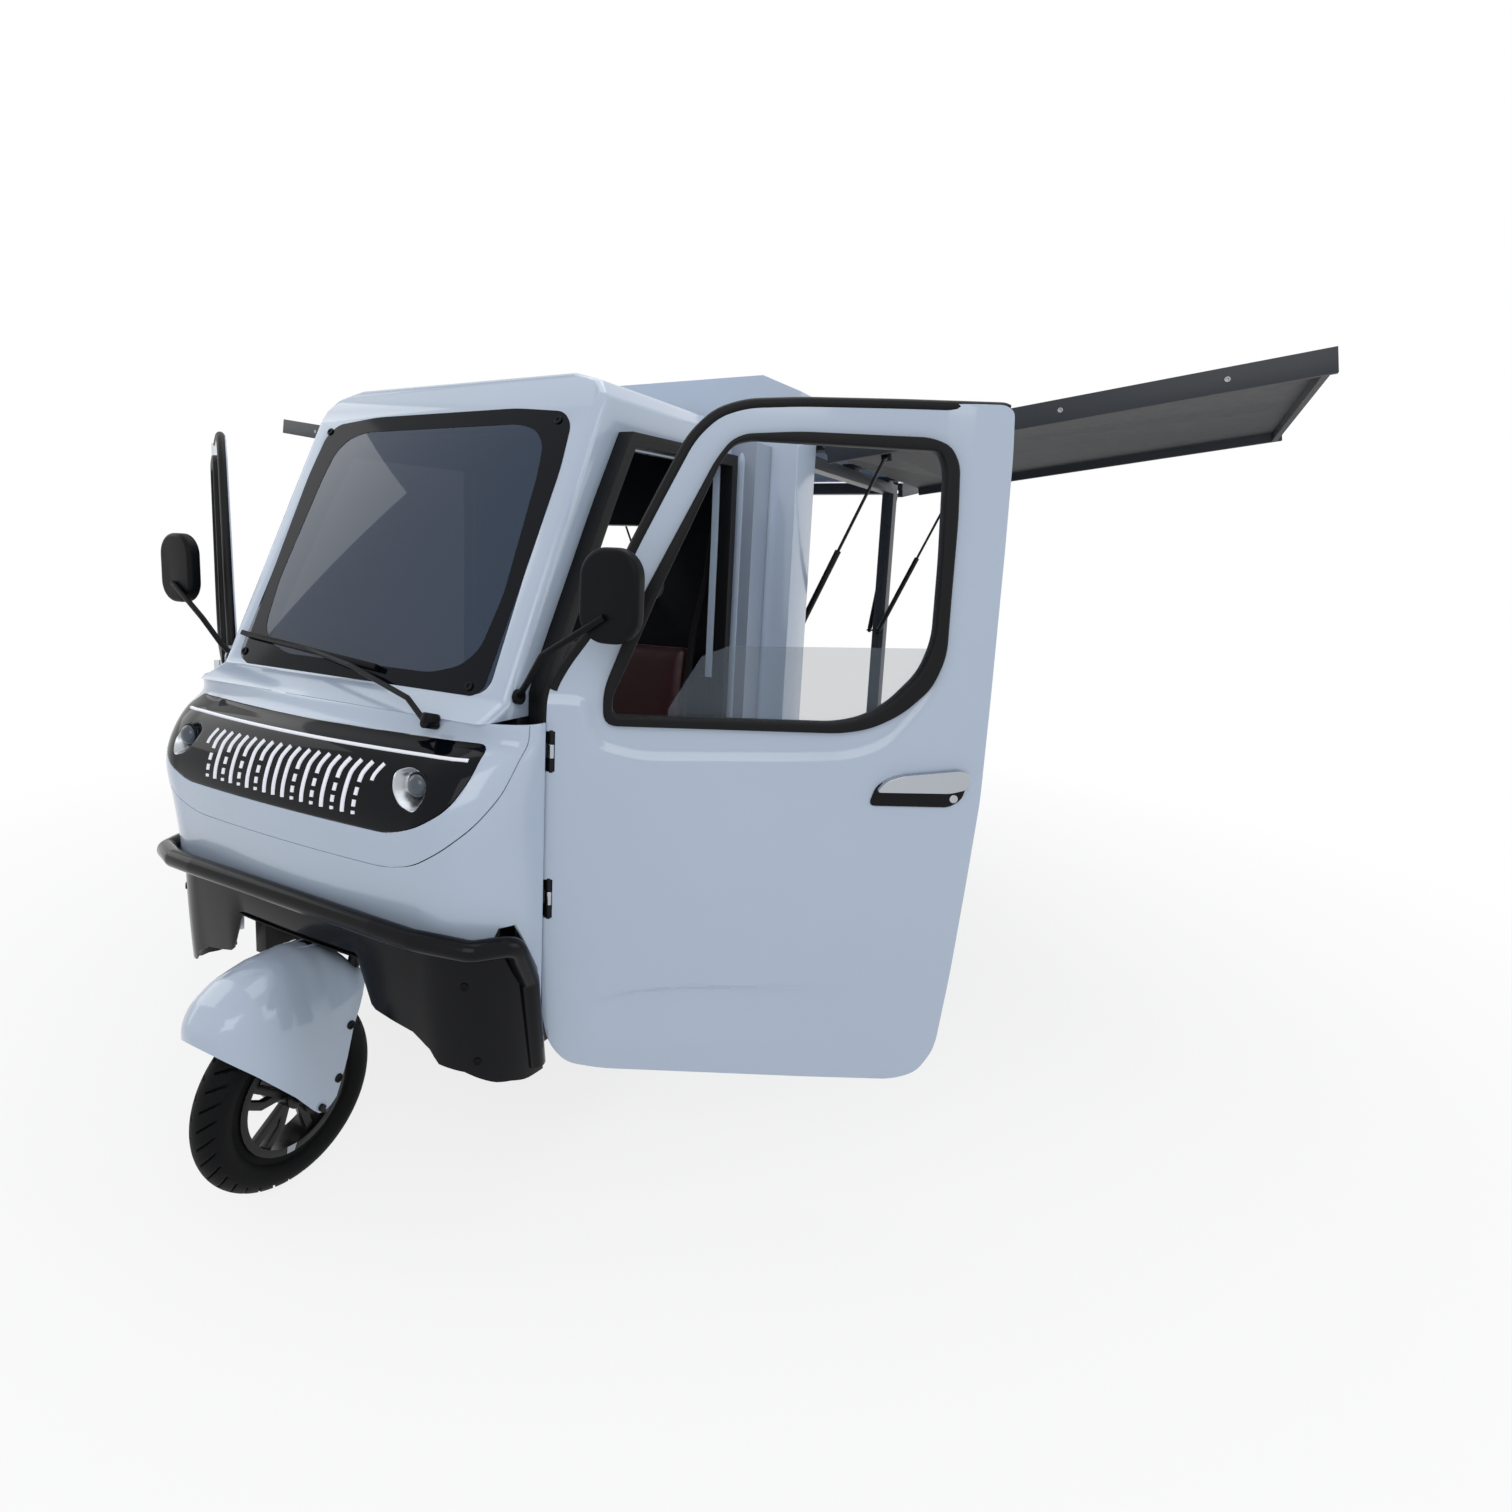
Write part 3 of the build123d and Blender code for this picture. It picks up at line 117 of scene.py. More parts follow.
# The floor shows as white far from the vehicle, and lets its shadow through close to it.
FLOOR_HALF = 14
SHADOW_NEAR, SHADOW_FAR = 1.2, 4.0
SHOWN_NEAR = 0.80
bpy.ops.mesh.primitive_plane_add(size=2 * FLOOR_HALF, location=(0, 0, 0))
floor = bpy.context.active_object
floor.name = "floor"
floor_paint = bpy.data.materials.new("floor_white")
floor_paint.use_nodes = True
tree = floor_paint.node_tree
tree.nodes.clear()
matt = add(tree, "ShaderNodeBsdfDiffuse", {"Color": linear("F2F2F2")})
plain = add(tree, "ShaderNodeEmission", {"Color": (1, 1, 1, 1), "Strength": 1.0})
spot = add(tree, "ShaderNodeTexCoord")
far = add(tree, "ShaderNodeVectorMath", {}, {0: spot.outputs["Object"]}, operation="LENGTH")
fade = add(tree, "ShaderNodeMapRange", {"From Min": SHADOW_NEAR, "From Max": SHADOW_FAR,
           "To Min": SHOWN_NEAR, "To Max": 1.0}, {"Value": far.outputs["Value"]})
seen = by_eye(tree)
share = add(tree, "ShaderNodeMath", {}, {0: seen.outputs[0], 1: fade.outputs[0]}, operation="MULTIPLY")
blend = add(tree, "ShaderNodeMixShader", {},
            {0: share.outputs[0], 1: matt.outputs[0], 2: plain.outputs[0]})
add(tree, "ShaderNodeOutputMaterial", {}, {"Surface": blend.outputs[0]})
floor.data.materials.append(floor_paint)

# Name, place, target, width and power.
LAMPS = (
    ("front_box", (3.4, -6.5, 4.6), (0, -1.4, 1.0), 4.0, 95),
    ("left_box", (6.0, 1.0, 3.2), (0, 0, 1.0), 3.4, 45),
    ("right_box", (-5.5, -2.5, 3.6), (0, -0.5, 1.0), 3.4, 45),
    ("top_box", (0, 0.5, 6.5), (0, 0, 1.0), 5.0, 105),
)
for name, place, target, size, power in LAMPS:
    lamp_data = bpy.data.lights.new(name, "AREA")
    lamp_data.size = size
    lamp_data.energy = power
    lamp = bpy.data.objects.new(name, lamp_data)
    scene.collection.objects.link(lamp)
    lamp.location = place
    lamp.rotation_euler = (Vector(target) - Vector(place)).to_track_quat("-Z", "Y").to_euler()


# Chassis frame and fork: square and round steel tube, welded, shot-blasted and powder
# coated black. Powder coat is even and satin, with an orange peel 3 mm across.
def finish(name, base, other, grain_mm, roughness, bump=0.0, metallic=0.0, rough_spread=0.08, **sockets):
    """A surface in two near tones, with a grain of a real size in its gloss and height."""
    material = bpy.data.materials.new(name)
    material.use_nodes = True
    tree = material.node_tree
    tree.nodes.clear()
    where = add(tree, "ShaderNodeTexCoord")
    grain = add(tree, "ShaderNodeTexNoise", {"Scale": 1000 / grain_mm, "Detail": 4.0},
                {"Vector": where.outputs["Object"]})
    tone = add(tree, "ShaderNodeMix", {6: linear(base), 7: linear(other)}, {0: grain.outputs["Fac"]},
               data_type="RGBA")
    gloss = add(tree, "ShaderNodeMapRange", {"To Min": max(0.02, roughness - rough_spread),
                "To Max": roughness + rough_spread}, {"Value": grain.outputs["Fac"]})
    shader = add(tree, "ShaderNodeBsdfPrincipled", {"Metallic": metallic},
                 {"Base Color": tone.outputs[2], "Roughness": gloss.outputs[0]})
    for socket, value in sockets.items():
        shader.inputs[socket.replace("_", " ")].default_value = value
    if bump:
        height = add(tree, "ShaderNodeBump", {"Strength": bump, "Distance": 0.001},
                     {"Height": grain.outputs["Fac"]})
        tree.links.new(height.outputs[0], shader.inputs["Normal"])
    add(tree, "ShaderNodeOutputMaterial", {}, {"Surface": shader.outputs[0]})
    return material


def only(obj):
    bpy.ops.object.select_all(action="DESELECT")
    bpy.context.view_layer.objects.active = obj
    obj.select_set(True)


def edited(obj, **steps):
    """Runs edit-mode operators, each with its settings, on the whole of a piece."""
    only(obj)
    bpy.ops.object.mode_set(mode="EDIT")
    bpy.ops.mesh.select_all(action="SELECT")
    for operator, settings in steps.items():
        getattr(bpy.ops.mesh, operator)(**settings)
    bpy.ops.object.mode_set(mode="OBJECT")
    return obj


def modify(obj, kind, **settings):
    """Adds a modifier with its settings and applies it."""
    only(obj)
    modifier = obj.modifiers.new(kind.lower(), kind)
    for key, value in settings.items():
        setattr(modifier, key, value)
    bpy.ops.object.modifier_apply(modifier=modifier.name)
    return obj


def soften(obj, width, angle=40, segments=2):
    """Eases a piece's sharp edges."""
    return modify(obj, "BEVEL", width=width, segments=segments, limit_method="ANGLE",
                  angle_limit=math.radians(angle))


def mount(obj, body, slot, *nodes, smooth=35):
    """Puts a finished piece on its body, and shows it in place of the CAD nodes it stands for."""
    only(obj)
    bpy.ops.object.shade_smooth_by_angle(angle=math.radians(smooth))
    obj.select_set(False)
    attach(obj, body)
    if nodes:
        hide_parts(*nodes)
    return obj


def refined(node, body, slot, material, edge=0.0015, smooth=35, crisp=35):
    """A copy of a CAD part with its flat faces made whole and its edges eased."""
    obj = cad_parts[node].copy()
    obj.data = obj.data.copy()
    obj.name = node + "_finished"
    scene.collection.objects.link(obj)
    obj.data.materials.clear()
    obj.data.materials.append(material)
    edited(obj, remove_doubles={"threshold": 0.00005},
           dissolve_limited={"angle_limit": math.radians(0.4)})
    if edge:
        soften(obj, edge, crisp, 3)
    return mount(obj, body, slot, node, smooth=smooth)


def faces_where(obj, material, test):
    """Gives a second finish to the faces whose normal and first corner pass a test."""
    obj.data.materials.append(material)
    for face in obj.data.polygons:
        if test(face.normal, obj.data.vertices[face.vertices[0]].co):
            face.material_index = len(obj.data.materials) - 1


powder_black = finish("black_powder_coat", "0C0D10", "121317", 3, 0.42, 0.15, Specular_IOR_Level=0.2)
refined("chassis_frame", "chassis", "frame_black", powder_black, 0.001)
refined("fork", "steering", "frame_black", powder_black, 0.001)

# Rear axle: a cast iron housing with its motor, bare but for a thin grey primer. Its
# sand-cast skin lies in lumps some 6 mm across, which make its shine dull and uneven.
cast_iron = finish("primed_cast_iron", "3A3C3E", "4A4B4C", 6, 0.62, 0.6, metallic=0.4)
refined("rear_axle", "chassis", "cast_parts", cast_iron, 0.002)

# Battery box: a moulded polypropylene case between the rails. A spark texture about 1 mm
# across spreads its shine into a soft grey.
case_plastic = finish("polypropylene_case", "26282B", "2F3134", 1.1, 0.55, 0.35)
refined("battery_box", "chassis", "battery_case", case_plastic, 0.004)

# Cab shell and load box: glass-fibre panels moulded in a glossy gel coat. It is a slightly cool
# white, tinted bluer by painted light, a blue cast of sky, that drifts by a shade every third of a
# metre, under a clear, sharp shine.
gel_coat = finish("white_gel_coat", "C1D0E4", "C7D6E9", 330, 0.16, rough_spread=0.03, Coat_Weight=0.5,
                  Coat_Roughness=0.04)
refined("cab_shell", "chassis", "body_white", gel_coat, 0.014, smooth=60, crisp=22)
refined("cargo_shell", "chassis", "body_white", gel_coat, 0.002)

# Front mudguard: one glass-fibre shell, bullet-nosed, open below and behind, in the body's
# gel coat. Two screws hold each side to the fork, and a slot on its top lets the stem move.
GUARD_HALF = 0.118
GUARD_NOSE = -0.2120
GUARD_SHOULDER = -0.05
GUARD_BACK = 0.126
GUARD_WALL = 0.003
NOSE_CROWDING = 1.6
NOSE_BLUNTNESS = 2.2
SIDE_STEEPNESS = 0.72
CROWN_FULLNESS = 0.62
SLOT_AT = (0, 0.060, 0.5445)
SLOT_TILT = -5
SLOT_RADIUS = 0.025
SLOT_STRETCH = (0.8, 1.35, 1, 1)
# Ridge and foot in the side view: distance behind the axle, and height.
GUARD_RIDGE = ((-0.2155, 0.441), (-0.205, 0.462), (-0.17, 0.497), (-0.12, 0.524), (-0.05, 0.543),
               (0.021, 0.549), (0.070, 0.542), (0.105, 0.522), (0.126, 0.490))
GUARD_FOOT = ((-0.2155, 0.440), (-0.180, 0.402), (-0.139, 0.360), (-0.060, 0.272), (-0.020, 0.220),
              (-0.004, 0.203), (0.022, 0.205), (0.041, 0.220), (0.070, 0.290), (0.091, 0.366),
              (0.114, 0.416), (0.126, 0.470))


def along_line(line, at):
    """Height of a drawn line at a distance, straight between its points."""
    at = min(max(at, line[0][0]), line[-1][0])
    for (a, low), (b, high) in zip(line, line[1:]):
        if a <= at <= b:
            return low + (high - low) * (at - a) / (b - a)


def added(name):
    """Names the piece that was just added."""
    piece = bpy.context.active_object
    piece.name = name
    return piece


def drawn(x, y, z):
    """A drawing point, whose y counts from the front axle, in the model's frame."""
    return Vector((x, y - FRAME_SHIFT, z))


def laid_grid(name, columns, rows, spot):
    """A grid primitive whose points are laid on a surface, by their share across and up."""
    bpy.ops.mesh.primitive_grid_add(x_subdivisions=columns, y_subdivisions=rows, size=1)
    grid = added(name)
    for vertex in grid.data.vertices:
        vertex.co = spot(vertex.co.x + 0.5, vertex.co.y + 0.5)
    return grid


def guard_spot(u, v):
    """Across the guard from foot to foot, and back along it from its nose."""
    y = GUARD_NOSE + (GUARD_BACK - GUARD_NOSE) * v**NOSE_CROWDING
    bulge = max(0.0, (GUARD_SHOULDER - y) / (GUARD_SHOULDER - GUARD_NOSE))
    half = GUARD_HALF * math.sqrt(max(0.0, 1 - bulge**NOSE_BLUNTNESS))
    turn = math.pi * u
    side = math.cos(turn)
    across = -math.copysign(abs(side) ** SIDE_STEEPNESS, side) if abs(side) > 1e-9 else 0.0
    foot, ridge = along_line(GUARD_FOOT, y), along_line(GUARD_RIDGE, y)
    return drawn(half * across, y, foot + (ridge - foot) * max(0.0, math.sin(turn)) ** CROWN_FULLNESS)


def walled(obj, thickness, offset=-1.0):
    """Merges a skin's seam, gives it its wall, and points its faces out."""
    edited(obj, remove_doubles={"threshold": 0.0002})
    modify(obj, "SOLIDIFY", thickness=thickness, offset=offset)
    return edited(obj, normals_make_consistent={"inside": False})


def coated(obj, material):
    """Gives a piece one finish."""
    obj.data.materials.clear()
    obj.data.materials.append(material)
    return obj


guard = walled(laid_grid("front_mudguard_shell", 64, 60, guard_spot), GUARD_WALL, 1.0)
mount(coated(guard, gel_coat), "steering", "body_white", "front_mudguard", smooth=60)
# A matt black disc fills the slot as painted shade, so that the slot reads as a hole.
slot_painted_shade = finish("slot_shade_disc", "07080A", "0B0C0E", 3.3, 0.5, 0.2, Specular_IOR_Level=0.2)
slot_place = (Matrix.Translation(drawn(*SLOT_AT)) @ Matrix.Rotation(math.radians(SLOT_TILT), 4, "X")
              @ Matrix.Diagonal(SLOT_STRETCH))
bpy.ops.mesh.primitive_torus_add(major_radius=SLOT_RADIUS + 0.001, minor_radius=0.004, major_segments=48,
                                 minor_segments=10)
slot_rim = added("mudguard_slot_rim")
slot_rim.data.transform(slot_place)
mount(coated(slot_rim, gel_coat), "steering", "body_white", smooth=60)
# The disc in the slot is painted shade, dark where the hole would be.
bpy.ops.mesh.primitive_cylinder_add(vertices=48, radius=SLOT_RADIUS, depth=0.004)
slot_pad = added("mudguard_slot")
slot_pad.data.transform(slot_place)
soften(slot_pad, 0.001)
mount(coated(slot_pad, slot_painted_shade), "steering", "trim_black", smooth=60)

# Nose: a moulded glass-fibre shell in two panels with the lamp band let into it. It bows
# forward in the middle, turns its corners in a wide radius and leans back above the lamps.
# Rows of the nose: height, its front, where its side starts, and its bow to the corner.
NOSE_ROWS = (
    (0.300, 0.030, 0.201, 0.015),
    (0.690, 0.018, 0.201, 0.015),
    (0.816, 0.004, 0.190, 0.015),
    (0.895, -0.008, 0.180, 0.015),
    (0.940, -0.004, 0.180, 0.016),
    (0.994, 0.018, 0.190, 0.020),
    (1.035, 0.050, 0.205, 0.025),
    (1.065, 0.095, 0.215, 0.030),
    (1.1035, 0.119, 0.222, 0.006),
)
NOSE_FLAT = 0.380
NOSE_HALF = 0.5475
NOSE_BACK = 0.228
NOSE_WALL = 0.005
NOSE_FOOT = 0.47
NOSE_TALL = 0.6334
CORNER_FROM, CORNER_TO = 0.4, 0.92


def nose_row(z):
    """Front, side start and bow at a height, eased between the rows."""
    last = len(NOSE_ROWS) - 2
    index = max(i for i in range(last + 1) if i == 0 or NOSE_ROWS[i][0] <= z)
    low, high = NOSE_ROWS[index], NOSE_ROWS[index + 1]
    span = high[0] - low[0]
    t = min(1, max(0, (z - low[0]) / span))
    out = []
    for column in (1, 2, 3):
        slopes = []
        for row in (index, index + 1):
            a, b = NOSE_ROWS[max(0, row - 1)], NOSE_ROWS[min(last + 1, row + 1)]
            slopes.append((b[column] - a[column]) / (b[0] - a[0]))
        out.append(
            low[column] * (2 * t**3 - 3 * t**2 + 1)
            + high[column] * (3 * t**2 - 2 * t**3)
            + span * (slopes[0] * (t**3 - 2 * t**2 + t) + slopes[1] * (t**3 - t**2))
        )
    return out


def nose_y(x, z):
    """How far back the nose's skin lies at a place in the front view."""
    front, side, bow = nose_row(z)
    if abs(x) <= NOSE_FLAT:
        return front + bow * (x / NOSE_FLAT) ** 2
    over = min(1, (abs(x) - NOSE_FLAT) / (NOSE_HALF - NOSE_FLAT))
    start = front + bow
    return start + (side - start) * (1 - math.sqrt(1 - over**2))


def nose_spot(u, v):
    """Round the nose from one side to the other, and up from behind the bumper."""
    z = NOSE_FOOT + NOSE_TALL * v
    side = -1 if u < 0.5 else 1
    share = abs(u - 0.5) * 2
    if share <= CORNER_FROM:
        x = NOSE_FLAT * share / CORNER_FROM
        y = nose_y(x, z)
    elif share <= CORNER_TO:
        round_it = 90 * (share - CORNER_FROM) / (CORNER_TO - CORNER_FROM)
        x = NOSE_FLAT + (NOSE_HALF - NOSE_FLAT) * math.sin(math.radians(round_it))
        y = nose_y(x, z)
    else:
        x = NOSE_HALF
        y = nose_y(x, z) + (NOSE_BACK - nose_y(x, z)) * (share - CORNER_TO) / (1 - CORNER_TO)
    return drawn(side * x, y, z)


def rounded(points, radius, steps=5):
    """A closed outline with its corners rounded."""
    out = []
    count = len(points)
    for index in range(count):
        before, here, after = (Vector(points[(index + shift) % count]) for shift in (-1, 0, 1))
        a, b = (before - here), (after - here)
        reach = min(radius, 0.45 * a.length, 0.45 * b.length)
        start, end = here + a.normalized() * reach, here + b.normalized() * reach
        for step in range(steps + 1):
            t = step / steps
            out.append(start * (1 - t) ** 2 + here * 2 * t * (1 - t) + end * t**2)
    return out


SIDES = ((1, "left"), (-1, "right"))


def front_view(x, z, y):
    """A point of the front view, at a depth."""
    return drawn(x, y, z)


def side_view(y, z, x):
    """A point of the side view, at a distance out."""
    return drawn(x, y, z)


def prism(outline, low, high, lift, name="cutter"):
    """An outline filled and extruded; lift turns (across, up, depth) into a place."""
    bpy.ops.mesh.primitive_circle_add(vertices=len(outline), radius=1, fill_type="NGON")
    obj = added(name)
    for vertex, (across, up) in zip(obj.data.vertices, outline):
        vertex.co = lift(across, up, low)
    along = lift(0, 0, high) - lift(0, 0, low)
    edited(obj, extrude_region_move={"TRANSFORM_OT_translate": {"value": along}})
    return edited(obj, normals_make_consistent={"inside": False})


def carve(obj, cutter, operation="DIFFERENCE"):
    """Cuts a piece with another, or keeps what they share."""
    modify(obj, "BOOLEAN", object=cutter, operation=operation, solver="EXACT")
    bpy.data.objects.remove(cutter)
    return obj


def copy_of(obj, name):
    twin = obj.copy()
    twin.data = obj.data.copy()
    twin.name = name
    scene.collection.objects.link(twin)
    return twin


def both_halves(half):
    """A half outline and its mirror image, as one."""
    return half + [(-x, z) for x, z in reversed(half)]


# Half outlines in the front view: the seam round the lamps, and the lamp cover itself.
SEAM = [(0.538, 1.20), (0.536, 1.03), (0.530, 0.970), (0.505, 0.916), (0.456, 0.868), (0.385, 0.824),
        (0.310, 0.808)]
LAMP = [(0.478, 1.062), (0.485, 1.010), (0.464, 0.950), (0.410, 0.912), (0.335, 0.886)]
SEAM_GAP = 0.0015
LAMP_TOP = 1.05
# Side view of what is cut off the lower panel behind the bumper.
LEG_LINE = [(-0.05, 0.2), (-0.05, 0.646), (0.096, 0.646), (0.116, 0.694), (0.150, 0.694),
            (0.214, 0.575), (0.2285, 0.48), (0.24, 0.2)]
seam_outline = rounded(both_halves(SEAM), 0.05)
seam_outer = rounded(both_halves([(x + SEAM_GAP, z - SEAM_GAP) for x, z in SEAM]), 0.05)
lamp_outline = rounded(both_halves(LAMP), 0.03)
lamp_wider = [(x + SEAM_GAP, z + math.copysign(SEAM_GAP, z - LAMP_TOP)) for x, z in LAMP]
lamp_outer = rounded(both_halves(lamp_wider), 0.03)
shell = laid_grid("nose_shell", 120, 90, nose_spot)
walled(shell, NOSE_WALL)
upper = copy_of(shell, "nose_upper_panel")
carve(upper, prism(seam_outline, -0.1, 0.3, front_view), "INTERSECT")
carve(upper, prism(lamp_outer, -0.1, 0.3, front_view))
lower = copy_of(shell, "nose_lower_panel")
carve(lower, prism(seam_outer, -0.1, 0.3, front_view))
carve(lower, prism(LEG_LINE, -0.6, 0.6, side_view))
for panel, node in ((upper, "nose_upper"), (lower, "nose_lower")):
    soften(panel, 0.0012, 50)
    mount(coated(panel, gel_coat), "chassis", "body_white", node, smooth=30)

# Lamp band: a smoked polycarbonate cover as wide as the nose. Behind it stand light guides,
# seventeen bars that are whole and dashed in turn with a short one at each end, a strip
# above them and two projectors.
LIGHT_STEP = 0.0303
BARS = 9
GUIDE_FOOT, GUIDE_STEP = 0.911, 0.0125
# Bend at a guide's top: distance across, and height.
GUIDE_BEND = ((0.0, 0.985), (0.0015, 0.992), (0.007, 1.003), (0.013, 1.0125))
DASHES = ((0.911, 0.917), (0.926, 0.939), (0.948, 0.963))
GUIDE_RADIUS, DASH_RADIUS, END_RADIUS, STRIP_RADIUS = 0.0053, 0.0050, 0.0046, 0.0042
STRIP_START, STRIP_STEP, STRIP_UP = -0.44, 0.0301, 1.0358
HEADLAMP_RIM = [(0.318, 1.004), (0.352, 1.016), (0.401, 1.002), (0.414, 0.968), (0.398, 0.935),
                (0.357, 0.946), (0.330, 0.972)]
# Smoked polycarbonate mirrors sharply over near black. A milky guide glows evenly along
# its length. Chrome and lens glass are clean and bright, and the bowls are satin silver.
smoked_cover = finish("smoked_polycarbonate", "05080E", "090D15", 170, 0.06, rough_spread=0.02,
                      Specular_IOR_Level=0.14)
light_white = finish("milky_light_guide", "E6E9F2", "F2F4FA", 25, 0.25,
                     Emission_Color=(0.9, 0.92, 1.0, 1), Emission_Strength=0.25)
chrome = finish("bright_chrome_plate", "A6ABB2", "B4B9C0", 250, 0.10, metallic=1.0, rough_spread=0.03)
lens_glass = finish("projector_lens_glass", "3A4450", "55606C", 200, 0.05, rough_spread=0.02)
lamp_silver = finish("satin_silver_reflector", "A9AEB4", "B8BCC2", 33, 0.28, metallic=0.9)
band = carve(shell, prism(lamp_outline, -0.1, 0.3, front_view), "INTERSECT")
band.name = "lamp_cover"
for side in (1, -1):
    rim = rounded([(side * x, z) for x, z in HEADLAMP_RIM], 0.014)
    carve(band, prism(rim, -0.1, 0.3, front_view))
mount(coated(soften(band, 0.0008, 50), smoked_cover), "chassis", "lamp_black", "lamp_panel", smooth=30)


def tube_along(name, places, radius, sides=3):
    """A round bar along a row of places, made from a curve."""
    data = bpy.data.curves.new(name, "CURVE")
    data.dimensions = "3D"
    data.bevel_depth = radius
    data.bevel_resolution = sides
    data.use_fill_caps = True
    line = data.splines.new("POLY")
    line.points.add(len(places) - 1)
    for point, at in zip(line.points, places):
        point.co = (*at, 1)
    obj = bpy.data.objects.new(name, data)
    scene.collection.objects.link(obj)
    only(obj)
    bpy.ops.object.convert(target="MESH")
    return bpy.context.active_object


def guide(route, radius):
    """A light guide just behind the nose's skin."""
    return tube_along("guide", [drawn(x, nose_y(x, z) + 0.0008, z) for x, z in route], radius)


def join(parts, name):
    bpy.ops.object.select_all(action="DESELECT")
    for part in parts:
        part.select_set(True)
    bpy.context.view_layer.objects.active = parts[0]
    bpy.ops.object.join()
    parts[0].name = name
    return parts[0]


guides = []
for index in range(-BARS, BARS + 1):
    x = index * LIGHT_STEP
    bend = [(x + over, up) for over, up in GUIDE_BEND]
    if abs(index) == BARS:
        guides.append(guide([(x, 0.980)] + bend, END_RADIUS))
    elif index % 2 == 0 and index:
        for low, high in DASHES:
            guides.append(guide([(x, low), (x, high)], DASH_RADIUS))
        guides.append(guide([(x, 0.973)] + bend, GUIDE_RADIUS))
    else:
        stem = [(x, GUIDE_FOOT + step * GUIDE_STEP) for step in range(6)]
        guides.append(guide(stem + bend, GUIDE_RADIUS))
guides.append(guide([(STRIP_START + step * STRIP_STEP, STRIP_UP) for step in range(31)], STRIP_RADIUS))
mount(coated(join(guides, "light_guides"), light_white), "chassis", "light_white", "lamp_lights")

# Rings of a headlamp's bowl: share of its rim, and depth behind the skin.
BOWL_RINGS = ((1.0, 0.0), (0.93, 0.003), (0.80, 0.022), (0.55, 0.034), (0.02, 0.036))
BOWL_MIDDLE = (0.369, 0.976)
LENS_MIDDLE, LENS_SKIN = (0.380, 0.983), (0.384, 0.985)
LENS_RADIUS, LENS_DEEP = 0.024, 0.010
for side, label in SIDES:
    rim = rounded([(side * x, z) for x, z in HEADLAMP_RIM], 0.014)
    middle = Vector((side * BOWL_MIDDLE[0], BOWL_MIDDLE[1]))

    def bowl_spot(u, v):
        corner = Vector(rim[round(u * len(rim)) % len(rim)])
        share, depth = BOWL_RINGS[round(v * (len(BOWL_RINGS) - 1))]
        spot = middle + (corner - middle) * share
        return drawn(spot.x, nose_y(spot.x, spot.y) + depth, spot.y)

    bowl = laid_grid("headlamp_bowl_" + label, len(rim), len(BOWL_RINGS) - 1, bowl_spot)
    edited(bowl, remove_doubles={"threshold": 0.0001})
    modify(bowl, "SOLIDIFY", thickness=0.0012, offset=1.0 if side > 0 else -1.0)
    mount(coated(bowl, lamp_silver), "chassis", "light_white", smooth=60)
    lens_at = drawn(side * LENS_MIDDLE[0], nose_y(*LENS_SKIN) + LENS_DEEP, LENS_MIDDLE[1])
    bpy.ops.mesh.primitive_uv_sphere_add(segments=40, ring_count=20, radius=LENS_RADIUS,
                                         location=lens_at)
    lens = added("headlamp_lens_" + label)
    lens.scale = (1, 0.75, 1)
    bpy.ops.object.transform_apply(location=True, rotation=False, scale=True)
    mount(coated(lens, lens_glass), "chassis", "light_white", smooth=60)
    bpy.ops.mesh.primitive_torus_add(major_radius=LENS_RADIUS + 0.0015, minor_radius=0.003,
                                     major_segments=48, minor_segments=10, location=lens_at,
                                     rotation=(math.radians(90), 0, 0))
    collar = added("headlamp_collar_" + label)
    bpy.ops.object.transform_apply(location=True, rotation=True, scale=True)
    mount(coated(collar, smoked_cover), "chassis", "light_white", smooth=60)

# Bumper: a roll of moulded polypropylene across the nose and down beside each door. It is
# painted and shines softly. The other trim is bare, dulled by a grain 1.4 mm across.
trim_black = finish("moulded_polypropylene", "07080B", "0B0C10", 1.4, 0.45, 0.2, Specular_IOR_Level=0.12)
bumper_black = finish("painted_bumper", "07080C", "0B0C11", 80, 0.16, rough_spread=0.04,
                      Specular_IOR_Level=0.16)
refined("bumper", "chassis", "trim_black", bumper_black, 0.002, smooth=60)

# Apron and arch panels: a matt lip under the roll, and a glossy panel that carries the nose's
# corner down beside the wheel, its lower edge swept up in an arch. Two screws hold each.
APRON_TOP, APRON_TALL = 0.655, 0.29
APRON_WALL = 0.004
APRON_SET = 0.006
APRON_TUCK = 0.010
APRON_ROW = 0.66
APRON_FROM, APRON_TO = 0.55, 0.95
SIDE_START = 0.202
# The lower edge: distance out from the middle, and height.
APRON_FOOT = ((0.0, 0.575), (0.20, 0.575), (0.245, 0.470), (0.301, 0.457), (0.357, 0.447),
              (0.402, 0.421), (0.422, 0.393), (0.474, 0.380), (0.518, 0.349), (0.56, 0.331),
              (0.60, 0.325))


def apron_spot(u, v):
    """Round the apron from one door to the other, and up from its swept edge."""
    share = abs(u - 0.5) * 2
    x, back = NOSE_HALF, 0.0
    if share <= APRON_FROM:
        x = NOSE_FLAT * share / APRON_FROM
    elif share <= APRON_TO:
        round_it = 90 * (share - APRON_FROM) / (APRON_TO - APRON_FROM)
        x = NOSE_FLAT + (NOSE_HALF - NOSE_FLAT) * math.sin(math.radians(round_it))
    else:
        back = (NOSE_BACK - SIDE_START) * (share - APRON_TO) / (1 - APRON_TO)
    foot = along_line(APRON_FOOT, x + (0.04 * max(0.0, share - 0.85) / 0.15))
    z = foot + (APRON_TOP - foot) * v
    tuck = APRON_TUCK * (1 - v) ** 2
    y = nose_y(x, APRON_ROW) + back + APRON_SET + tuck
    return drawn(math.copysign(x - APRON_WALL, u - 0.5), y, z)


